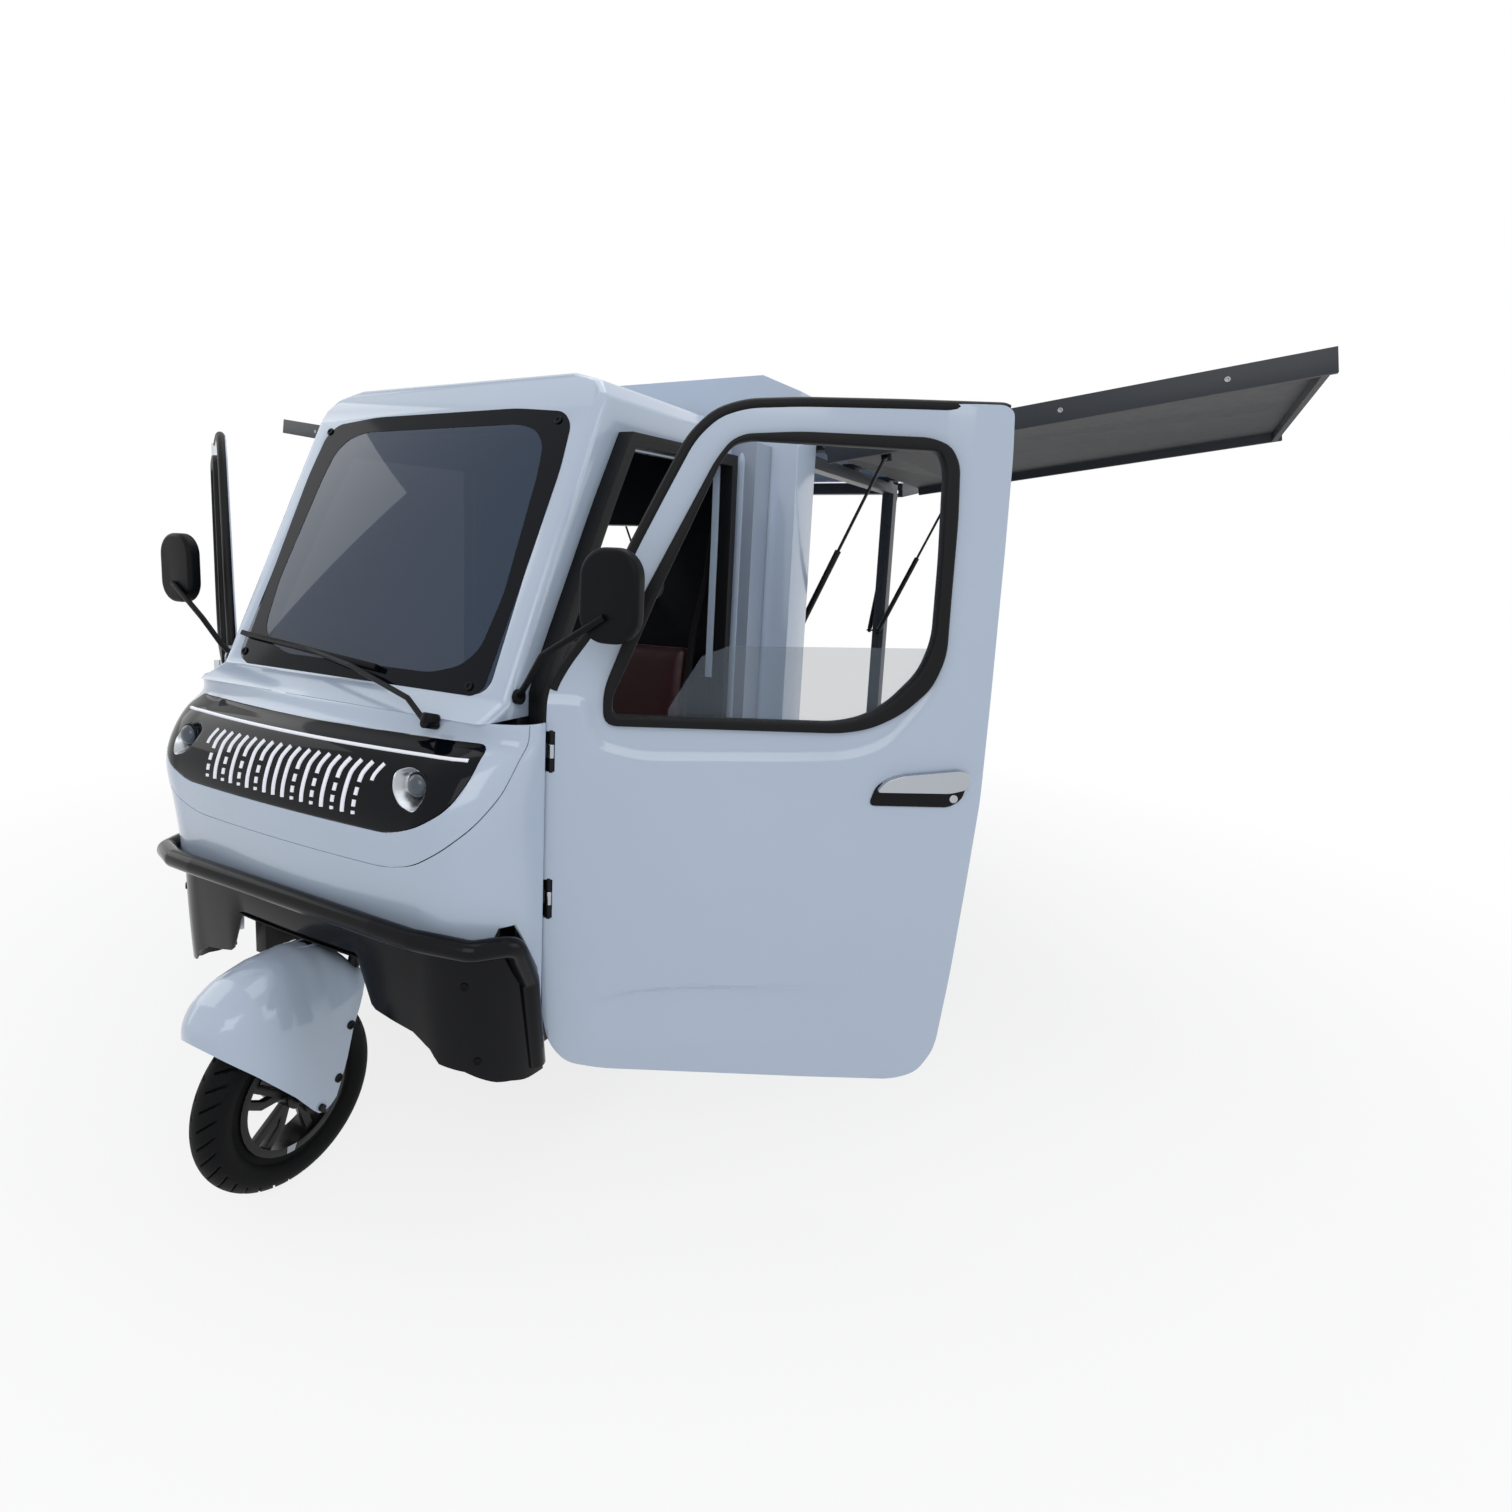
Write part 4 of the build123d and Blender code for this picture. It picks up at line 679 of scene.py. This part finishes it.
apron = walled(laid_grid("arch_apron", 120, 16, apron_spot), APRON_WALL)
mount(coated(apron, bumper_black), "chassis", "trim_black", "arch_panels", smooth=40)
bpy.ops.mesh.primitive_grid_add(x_subdivisions=40, y_subdivisions=8, size=1)
liner = added("arch_liner")
LINER_HALF, LINER_FRONT, LINER_LONG, LINER_BOW = 0.515, 0.03, 0.17, 0.09
LINER_TOP, LINER_DROP = 0.578, 0.10
for vertex in liner.data.vertices:
    across, back = vertex.co.x * 2, vertex.co.y + 0.5
    bow = LINER_BOW * abs(across) ** 3 * (1 - back)
    vertex.co = drawn(LINER_HALF * across, LINER_FRONT + LINER_LONG * back + bow,
                      LINER_TOP - LINER_DROP * back * abs(across))
walled(liner, 0.003)
mount(coated(liner, trim_black), "chassis", "trim_black", smooth=40)
for node in ("rear_guards", "dash"):
    refined(node, "chassis", "trim_black", trim_black, 0.002)

# Windscreen: laminated glass, tinted, with a black fired border, held by four domed screws.
# It leans back by what it recedes over its height.
SCREEN_FOOT = (0, 0.187, 1.130)
SCREEN_LEAN = math.atan2(0.308, 0.650)
HAZE_MM = 110


def on_screen(across, up, out):
    """A place on the windscreen: across, up along the glass, and out from it."""
    return drawn(across, SCREEN_FOOT[1] + up * math.sin(SCREEN_LEAN) - out * math.cos(SCREEN_LEAN),
                 SCREEN_FOOT[2] + up * math.cos(SCREEN_LEAN) + out * math.sin(SCREEN_LEAN))


def glazing(name, base, roughness, alpha):
    """Clear or tinted glass: sees through at a share, and mirrors more at a flat angle."""
    material = bpy.data.materials.new(name)
    material.use_nodes = True
    tree = material.node_tree
    tree.nodes.clear()
    where = add(tree, "ShaderNodeTexCoord")
    haze = add(tree, "ShaderNodeTexNoise", {"Scale": 1000 / HAZE_MM, "Detail": 2.0},
               {"Vector": where.outputs["Object"]})
    gloss = add(tree, "ShaderNodeMapRange", {"To Min": roughness * 0.5, "To Max": roughness * 1.5},
                {"Value": haze.outputs["Fac"]})
    shader = add(tree, "ShaderNodeBsdfPrincipled", {"Base Color": linear(base), "Alpha": alpha,
                 "IOR": 1.5, "Specular IOR Level": 0.5}, {"Roughness": gloss.outputs[0]})
    add(tree, "ShaderNodeOutputMaterial", {}, {"Surface": shader.outputs[0]})
    return material


# Tinted laminate is blue-black and hides most of the cab, and door glass is clear and cold.
# The fired enamel is black under the glass. All mirror sharply, with a slow waviness.
screen_glass = glazing("tinted_screen_glass", "10304E", 0.02, 0.89)
clear_glass = glazing("door_glass", "6E7A86", 0.02, 0.22)
fired_border = finish("fired_black_enamel", "050A12", "090E18", 200, 0.08, rough_spread=0.02,
                      Specular_IOR_Level=0.12)
refined("windscreen", "chassis", "screen_glass", screen_glass, 0.001)
# Half outlines on the glass, in millimetres: distance across, and up from its foot.
BORDER_WALL = 0.0007
CLEAR_HALF = [(262, 680), (318, 660), (350, 621), (362, 543), (376, 248), (360, 120), (322, 78),
              (242, 54)]
EDGE_HALF = [(244, 724), (388, 708), (420, 673), (430, 557), (424, 321), (415, 90), (412, 32),
             (386, 14), (150, 6)]
edge = rounded(both_halves([(x / 1000 - 0.008, up / 1000) for x, up in EDGE_HALF]), 0.03)
clear = rounded(both_halves([(x / 1000, up / 1000) for x, up in CLEAR_HALF]), 0.03)
border = prism(edge, 0.0, BORDER_WALL, on_screen, "windscreen_border")
carve(border, prism(clear, -0.01, 0.01, on_screen))
mount(coated(border, fired_border), "chassis", "screen_glass")


def domed_screw(name, at, towards, radius, body, slot, material):
    """A button-head screw: a disc with a crowned edge and a socket in its middle."""
    bpy.ops.mesh.primitive_cylinder_add(vertices=24, radius=radius, depth=radius * 0.5, location=at,
                                        rotation=towards.to_track_quat("Z", "Y").to_euler())
    screw = added(name)
    bpy.ops.object.transform_apply(location=True, rotation=True, scale=True)
    bpy.ops.object.mode_set(mode="EDIT")
    bpy.ops.mesh.select_mode(type="FACE")
    bpy.ops.mesh.select_all(action="DESELECT")
    bpy.ops.object.mode_set(mode="OBJECT")
    for face in screw.data.polygons:
        face.select = face.normal.dot(towards) > 0.9
    bpy.ops.object.mode_set(mode="EDIT")
    bpy.ops.mesh.inset(thickness=radius * 0.5)
    bpy.ops.mesh.extrude_region_move(TRANSFORM_OT_translate={"value": towards * radius * -0.25})
    bpy.ops.mesh.select_all(action="SELECT")
    bpy.ops.mesh.normals_make_consistent(inside=False)
    bpy.ops.object.mode_set(mode="OBJECT")
    soften(screw, radius * 0.16, 40, 3)
    return mount(coated(screw, material), body, slot)


SCREEN_SCREWS = ((-0.402, 0.687), (0.373, 0.684), (0.364, 0.035), (-0.400, 0.045))
screen_out = on_screen(0, 0, 1) - on_screen(0, 0, 0)
for index, (across, up) in enumerate(SCREEN_SCREWS):
    domed_screw(f"windscreen_screw_{index}", on_screen(across, up, 0.002), screen_out, 0.010, "chassis",
                "trim_black", trim_black)

APRON_SCREWS = ((0.478, 0.571), (0.495, 0.403))
GUARD_SCREWS = ((0.083, 0.372), (0.047, 0.261))
apron_out = Vector((0.62, -0.78, 0.0)).normalized()
for side, label in SIDES:
    towards = Vector((side * apron_out.x, apron_out.y, 0))
    for index, (x, up) in enumerate(APRON_SCREWS):
        tuck = APRON_TUCK * ((APRON_TOP - up) / APRON_TALL) ** 2
        at = drawn(side * (x - APRON_WALL), nose_y(x, APRON_ROW) + 0.005 + tuck, up)
        domed_screw(f"apron_screw_{label}_{index}", at, towards, 0.009, "chassis", "trim_black",
                    trim_black)
for side in (-1, 1):
    for index, (y, up) in enumerate(GUARD_SCREWS):
        at = drawn(side * (GUARD_HALF + GUARD_WALL + 0.0005), y, up)
        domed_screw(f"guard_screw_{side + 1}_{index}", at, Vector((side, 0, 0)), 0.010, "steering",
                    "trim_black", trim_black)

# Wiper: a pressed arm on a capped pivot, holding a rubber blade, all satin black.
refined("wiper", "chassis", "trim_black", trim_black, 0.001)
WIPER_PIVOT = (0.346, 0.108, 1.104)
bpy.ops.mesh.primitive_cylinder_add(vertices=32, radius=0.019, depth=0.022, location=drawn(*WIPER_PIVOT),
                                    rotation=(math.radians(-15), 0, 0))
cap = added("wiper_cap")
bpy.ops.object.transform_apply(location=True, rotation=True, scale=True)
soften(cap, 0.006, 40, 4)
mount(coated(cap, trim_black), "chassis", "trim_black")

# Mirrors: a moulded head with a raised line down its back, on a bent steel arm.
refined("mirrors", "chassis", "trim_black", trim_black, 0.004, smooth=60)

# Rear wall and door posts: the wall is black inside. The posts are the body's white with painted
# shade, a shade darker and with a softer shine, and carry a raised strip in gel coat.
# The strip in the front view: distance across, and height; then its front and back.
PILLAR_STRIP = ((0.497, 0.62), (0.517, 0.62), (0.517, 1.745), (0.507, 1.765), (0.497, 1.745))
STRIP_FRONT, STRIP_BACK = 1.171, 1.1762
# Painted shade: the posts' faces get the body's white darkened, for the shade they stand in.
pillar_white_painted_shade = finish("pillar_white_painted_shade", "97A3B5", "A0ABBC", 250, 0.25, rough_spread=0.04)
back_wall = refined("cab_back", "chassis", "trim_black", trim_black, 0.003)
faces_where(back_wall, pillar_white_painted_shade, lambda n, c: abs(c.x) > 0.48 and 1.15 < c.y + FRAME_SHIFT < 1.30)
for side, label in SIDES:
    strip = rounded([(side * x, up) for x, up in PILLAR_STRIP], 0.008)
    trim = prism(strip, STRIP_FRONT, STRIP_BACK, front_view, "pillar_trim_" + label)
    mount(coated(soften(trim, 0.0015, 50), gel_coat), "chassis", "body_white")

# Doors: a pressed outer skin with a sunken field round the window and a soft crease low down,
# closed by an inner skin. Each stands open on two cast hinges.
HINGE = (0.544, 0.253)
HINGE_HEIGHTS = (0.719, 1.040)
DOOR_TURN = math.radians(58.5)
DOOR_START, DOOR_LONG = -0.025, 0.949
DOOR_FOOT, DOOR_TALL = 0.305, 1.477
DOOR_OUT = 0.008
DOOR_WALL = 0.0225
# Outlines on the door, in millimetres: distance behind the hinge, and height.
DOOR_EDGE = [(-13, 1031), (-19, 713), (-15, 483), (4, 390), (42, 343), (120, 330), (342, 324),
             (567, 318), (771, 315), (826, 333), (856, 382), (864, 411), (881, 562), (898, 768),
             (912, 962), (914, 1179), (914, 1493), (912, 1678), (907, 1762), (888, 1774), (677, 1771),
             (477, 1766), (367, 1758), (309, 1738), (261, 1690), (206, 1580), (150, 1465), (94, 1330),
             (20, 1225), (-9, 1168)]
STEP_LINE = [(-60, 1150), (70, 1150), (79, 1087), (100, 1056), (185, 1035), (522, 1044), (627, 1051),
             (700, 1078), (775, 1170), (842, 1290), (842, 1900), (-60, 1900)]
GASKET_EDGE = [(106, 1098), (104, 1172), (174, 1360), (314, 1643), (342, 1681), (371, 1696),
               (481, 1705), (743, 1705), (785, 1691), (806, 1655), (812, 1547), (812, 1385),
               (813, 1268), (788, 1200), (729, 1143), (666, 1110), (603, 1098)]
GASKET_HOLE = [(124, 1120), (124, 1160), (157, 1236), (214, 1382), (328, 1644), (352, 1676),
               (386, 1685), (765, 1679), (779, 1644), (785, 1465), (785, 1301), (762, 1232),
               (702, 1166), (648, 1133), (590, 1120)]
CREASE = [(0.079, 0.467), (0.115, 0.486), (0.202, 0.507), (0.290, 0.516), (0.554, 0.524),
          (0.709, 0.532)]


def on_door(along, up, out):
    """A place on the open left door: distance behind the hinge, height, distance outwards."""
    return drawn(
        HINGE[0] + out * math.cos(DOOR_TURN) + along * math.sin(DOOR_TURN),
        HINGE[1] - out * math.sin(DOOR_TURN) + along * math.cos(DOOR_TURN),
        up,
    )


def metres(points, radius):
    """An outline in millimetres as a rounded one in metres."""
    return [tuple(p) for p in rounded([(a / 1000, b / 1000) for a, b in points], radius)]


def inside(outline, p):
    """Whether a point lies inside an outline."""
    hit = False
    for a, b in zip(outline, outline[1:] + outline[:1]):
        if (a[1] > p[1]) != (b[1] > p[1]):
            if p[0] < (b[0] - a[0]) * (p[1] - a[1]) / (b[1] - a[1]) + a[0]:
                hit = not hit
    return hit


def distance(line, p):
    """How far a point lies from a line."""
    best = math.inf
    for a, b in zip(line, line[1:]):
        bx, by = b[0] - a[0], b[1] - a[1]
        t = max(0, min(1, ((p[0] - a[0]) * bx + (p[1] - a[1]) * by) / (bx * bx + by * by + 1e-12)))
        best = min(best, math.hypot(p[0] - a[0] - t * bx, p[1] - a[1] - t * by))
    return best


def eased(t):
    """Zero to one with a soft start and end."""
    t = max(0, min(1, t))
    return t * t * (3 - 2 * t)


sunken = metres(STEP_LINE, 0.05)
STEP_RUN = 0.026
STEP_DEEP = 0.009
CREASE_DEEP = 0.011


def door_spot(u, v):
    """Along the door and up it: sunken round the window, and creased low down."""
    along, up = DOOR_START + DOOR_LONG * u, DOOR_FOOT + DOOR_TALL * v
    sink = 0.0
    if up > 0.95:
        away = distance(sunken, (along, up)) * (1 if inside(sunken, (along, up)) else -1)
        flush = eased((along - 0.77) / 0.07) * eased((up - 1.12) / 0.15)
        sink = eased(0.5 + away / STEP_RUN) * (1 - flush)
    crease = 0.0
    for a, b in zip(CREASE, CREASE[1:]):
        if a[0] <= along <= b[0]:
            line = a[1] + (b[1] - a[1]) * (along - a[0]) / (b[0] - a[0])
            fade = eased((along - CREASE[0][0]) / 0.10) * eased((CREASE[-1][0] - along) / 0.35)
            fold = eased((line + 0.012 - up) / 0.016) * eased((up - line + 0.13) / 0.11)
            crease = CREASE_DEEP * fade * fold
    return on_door(along, up, DOOR_OUT - STEP_DEEP * sink - crease)


door = walled(laid_grid("door_panel_left", 120, 190, door_spot), DOOR_WALL)
carve(door, prism(metres(DOOR_EDGE, 0.03), -0.06, 0.06, on_door), "INTERSECT")
carve(door, prism(metres(GASKET_EDGE, 0.03), -0.06, 0.06, on_door))
for up in HINGE_HEIGHTS:
    notch = [(-0.04, up - 0.043), (0.008, up - 0.043), (0.008, up + 0.043), (-0.04, up + 0.043)]
    carve(door, prism(notch, -0.06, 0.06, on_door))
soften(door, 0.0012, 60, 2)


def on_both_doors(piece, slot, material, *nodes, smooth=35):
    """Coats a piece of the left door, and mounts it and its mirror image on their doors."""
    coated(piece, material)
    twin = copy_of(piece, piece.name.replace("left", "right"))
    twin.data.transform(Matrix.Scale(-1, 4, (1, 0, 0)))
    edited(twin, normals_make_consistent={"inside": False})
    mount(twin, "door_right", slot, *[node + "right" for node in nodes], smooth=smooth)
    mount(piece, "door_left", slot, *[node + "left" for node in nodes], smooth=smooth)


on_both_doors(door, "body_white", gel_coat, "door_shell_", smooth=30)

# Door seals and gaskets: extruded rubber, matt and near black, with a fine die grain.
EDGE_SEAL_RADIUS = 0.0125
seal_rubber = finish("extruded_rubber", "07080B", "0B0C0F", 2, 0.5, 0.2, Specular_IOR_Level=0.2)
refined("door_seals", "chassis", "seal_rubber", seal_rubber, 0.006)
edge_line = metres([(along + 6, up - 4) for along, up in DOOR_EDGE], 0.03)
edge_run = [spot for spot in edge_line if spot[1] > 1.165 and spot[0] < 0.9]
edge_places = [on_door(along, up, -0.010) for along, up in edge_run]
door_edge_seal = tube_along("door_edge_seal_left", edge_places, EDGE_SEAL_RADIUS, 5)
on_both_doors(door_edge_seal, "seal_rubber", seal_rubber, smooth=60)
gasket = prism(metres(GASKET_EDGE, 0.03), -0.022, 0.014, on_door, "window_gasket_left")
carve(gasket, prism(metres(GASKET_HOLE, 0.03), -0.06, 0.06, on_door))
soften(gasket, 0.005, 50, 3)
on_both_doors(gasket, "seal_rubber", seal_rubber, "door_gasket_", smooth=50)

# Door glass: toughened and lowered part way. Handle: a chromed pull over a black cup, with a
# key lock in the cup's rear end.
CUP = [(672, 945), (684, 985), (706, 1003), (738, 1014), (862, 1029), (882, 1018), (872, 965),
       (845, 946)]
PULL = [(682, 978), (704, 1003), (738, 1015), (862, 1030), (883, 1018), (876, 990), (840, 980)]
LOCK_AT = (0.852, 0.966)
LOCK_RADIUS = 0.009
cup = soften(prism(metres(CUP, 0.014), 0.006, 0.0135, on_door, "handle_cup_left"), 0.003, 40, 3)
pull = soften(prism(metres(PULL, 0.012), 0.010, 0.027, on_door, "handle_pull_left"), 0.007, 40, 5)
circle = [(LOCK_AT[0] + LOCK_RADIUS * math.cos(i * math.pi / 12),
           LOCK_AT[1] + LOCK_RADIUS * math.sin(i * math.pi / 12)) for i in range(24)]
lock = soften(prism(circle, 0.012, 0.0155, on_door, "handle_lock_left"), 0.001, 40, 2)
# The fittings keep their hinges, and their handle gives way to the one above.
HANDLE_FROM = HINGE[0] + 0.35
for label in ("left", "right"):
    body = "door_" + label
    refined("door_glass_" + label, body, "clear_glass", clear_glass, 0.001)
    fittings = refined("door_fittings_" + label, body, "bright_metal", chrome, 0.002)
    only(fittings)
    bpy.ops.object.mode_set(mode="EDIT")
    bpy.ops.mesh.select_mode(type="VERT")
    bpy.ops.mesh.select_all(action="DESELECT")
    bpy.ops.object.mode_set(mode="OBJECT")
    for vertex in fittings.data.vertices:
        vertex.select = abs(vertex.co.x) > HANDLE_FROM
    bpy.ops.object.mode_set(mode="EDIT")
    bpy.ops.mesh.delete(type="VERT")
    bpy.ops.object.mode_set(mode="OBJECT")
on_both_doors(cup, "trim_black", bumper_black)
on_both_doors(pull, "bright_metal", chrome)
on_both_doors(lock, "bright_metal", chrome)

# Cab floor and handlebar: a pressed steel pan under a rubber mat, and black tube. The
# mat's ribs, 3.8 mm apart, leave it dull.
rubber_mat = finish("ribbed_rubber_mat", "0E0F11", "16171A", 3.8, 0.7, 0.6, Specular_IOR_Level=0.2)
refined("cab_floor", "chassis", "frame_black", rubber_mat, 0.003)
refined("handlebar", "steering", "frame_black", powder_black, 0.002)

# Seat: a bench of foam under red leatherette, the cushion and the back sewn over it. The cover
# swells between its edges. Its hide is dark red, with an embossed grain 2.4 mm across.
SEAT_HALF = 0.386
SWELL = 0.006
FOAM_STEP = 0.010
BLOWN_FRAMES = 15
seat_hide = finish("red_leatherette", "2E070C", "3C0B12", 2.4, 0.46, 0.5, Sheen_Weight=0.1)


def stuffed(name, centre, size, tilt, swell):
    """A foam block under a cover that is blown up as cloth, by a swell at most."""
    bpy.ops.mesh.primitive_cube_add(size=1, location=(0, 0, 0))
    pad = added(name)
    pad.scale = size
    bpy.ops.object.transform_apply(location=False, rotation=False, scale=True)
    soften(pad, 0.022, 40, 4)
    modify(pad, "REMESH", mode="VOXEL", voxel_size=FOAM_STEP)
    start = [vertex.co.copy() for vertex in pad.data.vertices]
    cloth = pad.modifiers.new("cover", "CLOTH")
    cloth.settings.use_pressure = True
    cloth.settings.uniform_pressure_force = 4
    cloth.settings.effector_weights.gravity = 0
    for step in range(1, BLOWN_FRAMES + 1):
        scene.frame_set(step)
    only(pad)
    bpy.ops.object.modifier_apply(modifier=cloth.name)
    scene.frame_set(1)
    for vertex, before in zip(pad.data.vertices, start):
        move = vertex.co - before
        if move.length > swell:
            vertex.co = before + move.normalized() * swell
    modify(pad, "SUBSURF", levels=1, render_levels=1)
    pad.data.transform(Matrix.Translation(centre) @ Matrix.Rotation(math.radians(tilt), 4, "X"))
    return coated(pad, seat_hide)


cushion = stuffed("seat_cushion", drawn(0, 0.860, 0.7505), (2 * SEAT_HALF, 0.426, 0.086), 0, SWELL)
mount(cushion, "chassis", "seat_red", "seat", smooth=60)
backrest = stuffed("seat_back", drawn(0, 1.120, 0.9925), (2 * SEAT_HALF, 0.076, 0.386), -8, SWELL)
mount(backrest, "chassis", "seat_red", smooth=60)

# Seat belt: polyester webbing from the post down beside the seat. Its weave, 1.1 mm from
# thread to thread, takes away its shine.
BELT_ROUTE = ((0.425, 1.190, 1.62), (0.415, 1.165, 1.40), (0.400, 1.120, 1.22), (0.398, 1.085, 1.02),
              (0.398, 1.060, 0.83))
BELT_RADIUS = 0.011
webbing = finish("black_webbing", "0C0C0E", "141416", 1.1, 0.8, 0.5, Specular_IOR_Level=0.2)
belt = tube_along("belt_webbing", [drawn(*place) for place in BELT_ROUTE], BELT_RADIUS, 3)
mount(coated(belt, webbing), "chassis", "seat_red", smooth=60)

# Load deck and cargo frame: a plywood deck on a folded steel frame. The sealed plywood
# shows its brown grain, 17 mm wide, and the frame's slate paint is satin.
deck_board = finish("sealed_plywood", "5A5148", "6A6055", 17, 0.6, 0.2)
slate = finish("slate_paint_on_steel", "2E3238", "363A41", 3.3, 0.38, 0.12, Specular_IOR_Level=0.3)
refined("cargo_deck", "chassis", "deck_board", deck_board, 0.002)
refined("cargo_frame", "chassis", "slate_steel", slate, 0.0015)

# Flaps and hatch: a glass-fibre skin over a grey liner in a steel edge, hinged at the roof.
# The liner board is dull and even, and zinc-plated screws catch the light on the edge.
FLAP_LEAN = math.radians(8.4)
FLAP_HINGE = (0.645, 1.815)
FLAP_FRONT = 1.4395
SCREW_DROP = 0.030
lid_grey = finish("grey_liner_board", "37383A", "404143", 33, 0.62, 0.15, Specular_IOR_Level=0.25)
for node, body in (("flap_left", "flap_body_left"), ("flap_right", "flap_body_right"),
                   ("hatch", "hatch_body")):
    lid = refined(node, body, "lid_panel", slate, 0.0015)
    faces_where(lid, gel_coat, lambda n, c: n.z > 0.9)
    faces_where(lid, lid_grey, lambda n, c: n.z < -0.9)

screw_zinc = finish("zinc_plated_screw", "8B8F94", "9A9EA3", 3.3, 0.35, metallic=0.9)
for side, label in SIDES:
    for index, along in enumerate((0.30, 0.68, 1.06)):
        out = FLAP_HINGE[0] + along * math.cos(FLAP_LEAN) + SCREW_DROP * math.sin(FLAP_LEAN)
        up = FLAP_HINGE[1] + along * math.sin(FLAP_LEAN) - SCREW_DROP * math.cos(FLAP_LEAN)
        at = drawn(side * out, FLAP_FRONT, up)
        domed_screw(f"flap_screw_{label}_{index}", at, Vector((0, -1, 0)), 0.007, "flap_body_" + label,
                    "bright_metal", screw_zinc)

# Gas struts: a black nitrided rod in a painted tube, between ball studs. The paint is
# satin, and the rod is polished and a shade brighter.
strut_black = finish("painted_strut_tube", "08090B", "0D0E10", 5, 0.3, 0.05, Specular_IOR_Level=0.2)
rod_black = finish("nitrided_rod", "101113", "17181A", 2, 0.2, Specular_IOR_Level=0.3)
for label in ("left", "right", "rear"):
    refined("strut_tubes_" + label, "strut_tube_body_" + label, "strut_black", strut_black, 0.001)
    refined("strut_rods_" + label, "strut_rod_body_" + label, "strut_black", rod_black, 0.0006)

# Wheels: cast alloy rims painted black with their lips turned bright, in treaded tyres.
# Turning leaves fine rings, and tyre rubber is dull with slanted grooves round its tread.
rim_black = finish("black_alloy_paint", "0B0C0E", "101114", 6.5, 0.3, 0.05, Specular_IOR_Level=0.3)
machined = finish("turned_alloy_face", "8A8D91", "9A9DA1", 4.5, 0.3, metallic=1.0)
tyre_rubber = finish("tyre_rubber", "07080A", "0C0D0F", 2.8, 0.62, 0.4, Specular_IOR_Level=0.12)
GROOVES = 34
GROOVE_WIDE, GROOVE_DEEP = 0.0045, 0.016
GROOVE_SLANT, GROOVE_LEAN = math.radians(38), math.radians(26)
LIP_RADIUS = 0.124
for rim_node, tyre_node, body, centre, radius, half in (
    ("front_rim", "front_tyre", "front_wheel", drawn(0, 0, 0.216), 0.216, 0.046),
    ("rear_rim_left", "rear_tyre_left", "rear_wheel_left", drawn(0.470, 2.0, 0.225), 0.225, 0.052),
    ("rear_rim_right", "rear_tyre_right", "rear_wheel_right", drawn(-0.470, 2.0, 0.225), 0.225, 0.052),
):
    rim_piece = refined(rim_node, body, "alloy", rim_black, 0.0012)
    faces_where(rim_piece, machined, lambda n, c: abs(n.x) > 0.9 and (c - centre).length > LIP_RADIUS)
    tread = refined(tyre_node, body, "tyre", tyre_rubber, 0)
    cuts = []
    low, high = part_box(tyre_node)
    middle = Vector(((low[0] + high[0]) / 2, centre.y, centre.z))
    for index in range(GROOVES):
        for side in (-1, 1):
            bpy.ops.mesh.primitive_cube_add(size=1)
            groove = bpy.context.active_object
            groove.scale = (half * 1.15, GROOVE_WIDE, GROOVE_DEEP)
            bpy.ops.object.transform_apply(location=False, rotation=False, scale=True)
            slant = Matrix.Rotation(side * GROOVE_SLANT, 4, "Z")
            lean = Matrix.Rotation(side * GROOVE_LEAN, 4, "Y")
            out = Matrix.Translation((side * half * 0.62, 0, radius - 0.009))
            share = (index + (0.5 if side > 0 else 0)) / GROOVES
            spin = Matrix.Rotation(2 * math.pi * share, 4, "X")
            groove.data.transform(Matrix.Translation(middle) @ spin @ out @ lean @ slant)
            cuts.append(groove)
    carve(tread, join(cuts, "grooves"))
    mount(tread, body, "tyre", smooth=40)

# Tail lamps: deep red acrylic lenses over their housings, with a sharp shine.
lamp_red = finish("red_acrylic_lens", "8A0F12", "9C1518", 8, 0.12, 0.1, Coat_Weight=0.8)
refined("tail_lamps", "chassis", "lamp_red", lamp_red, 0.002)
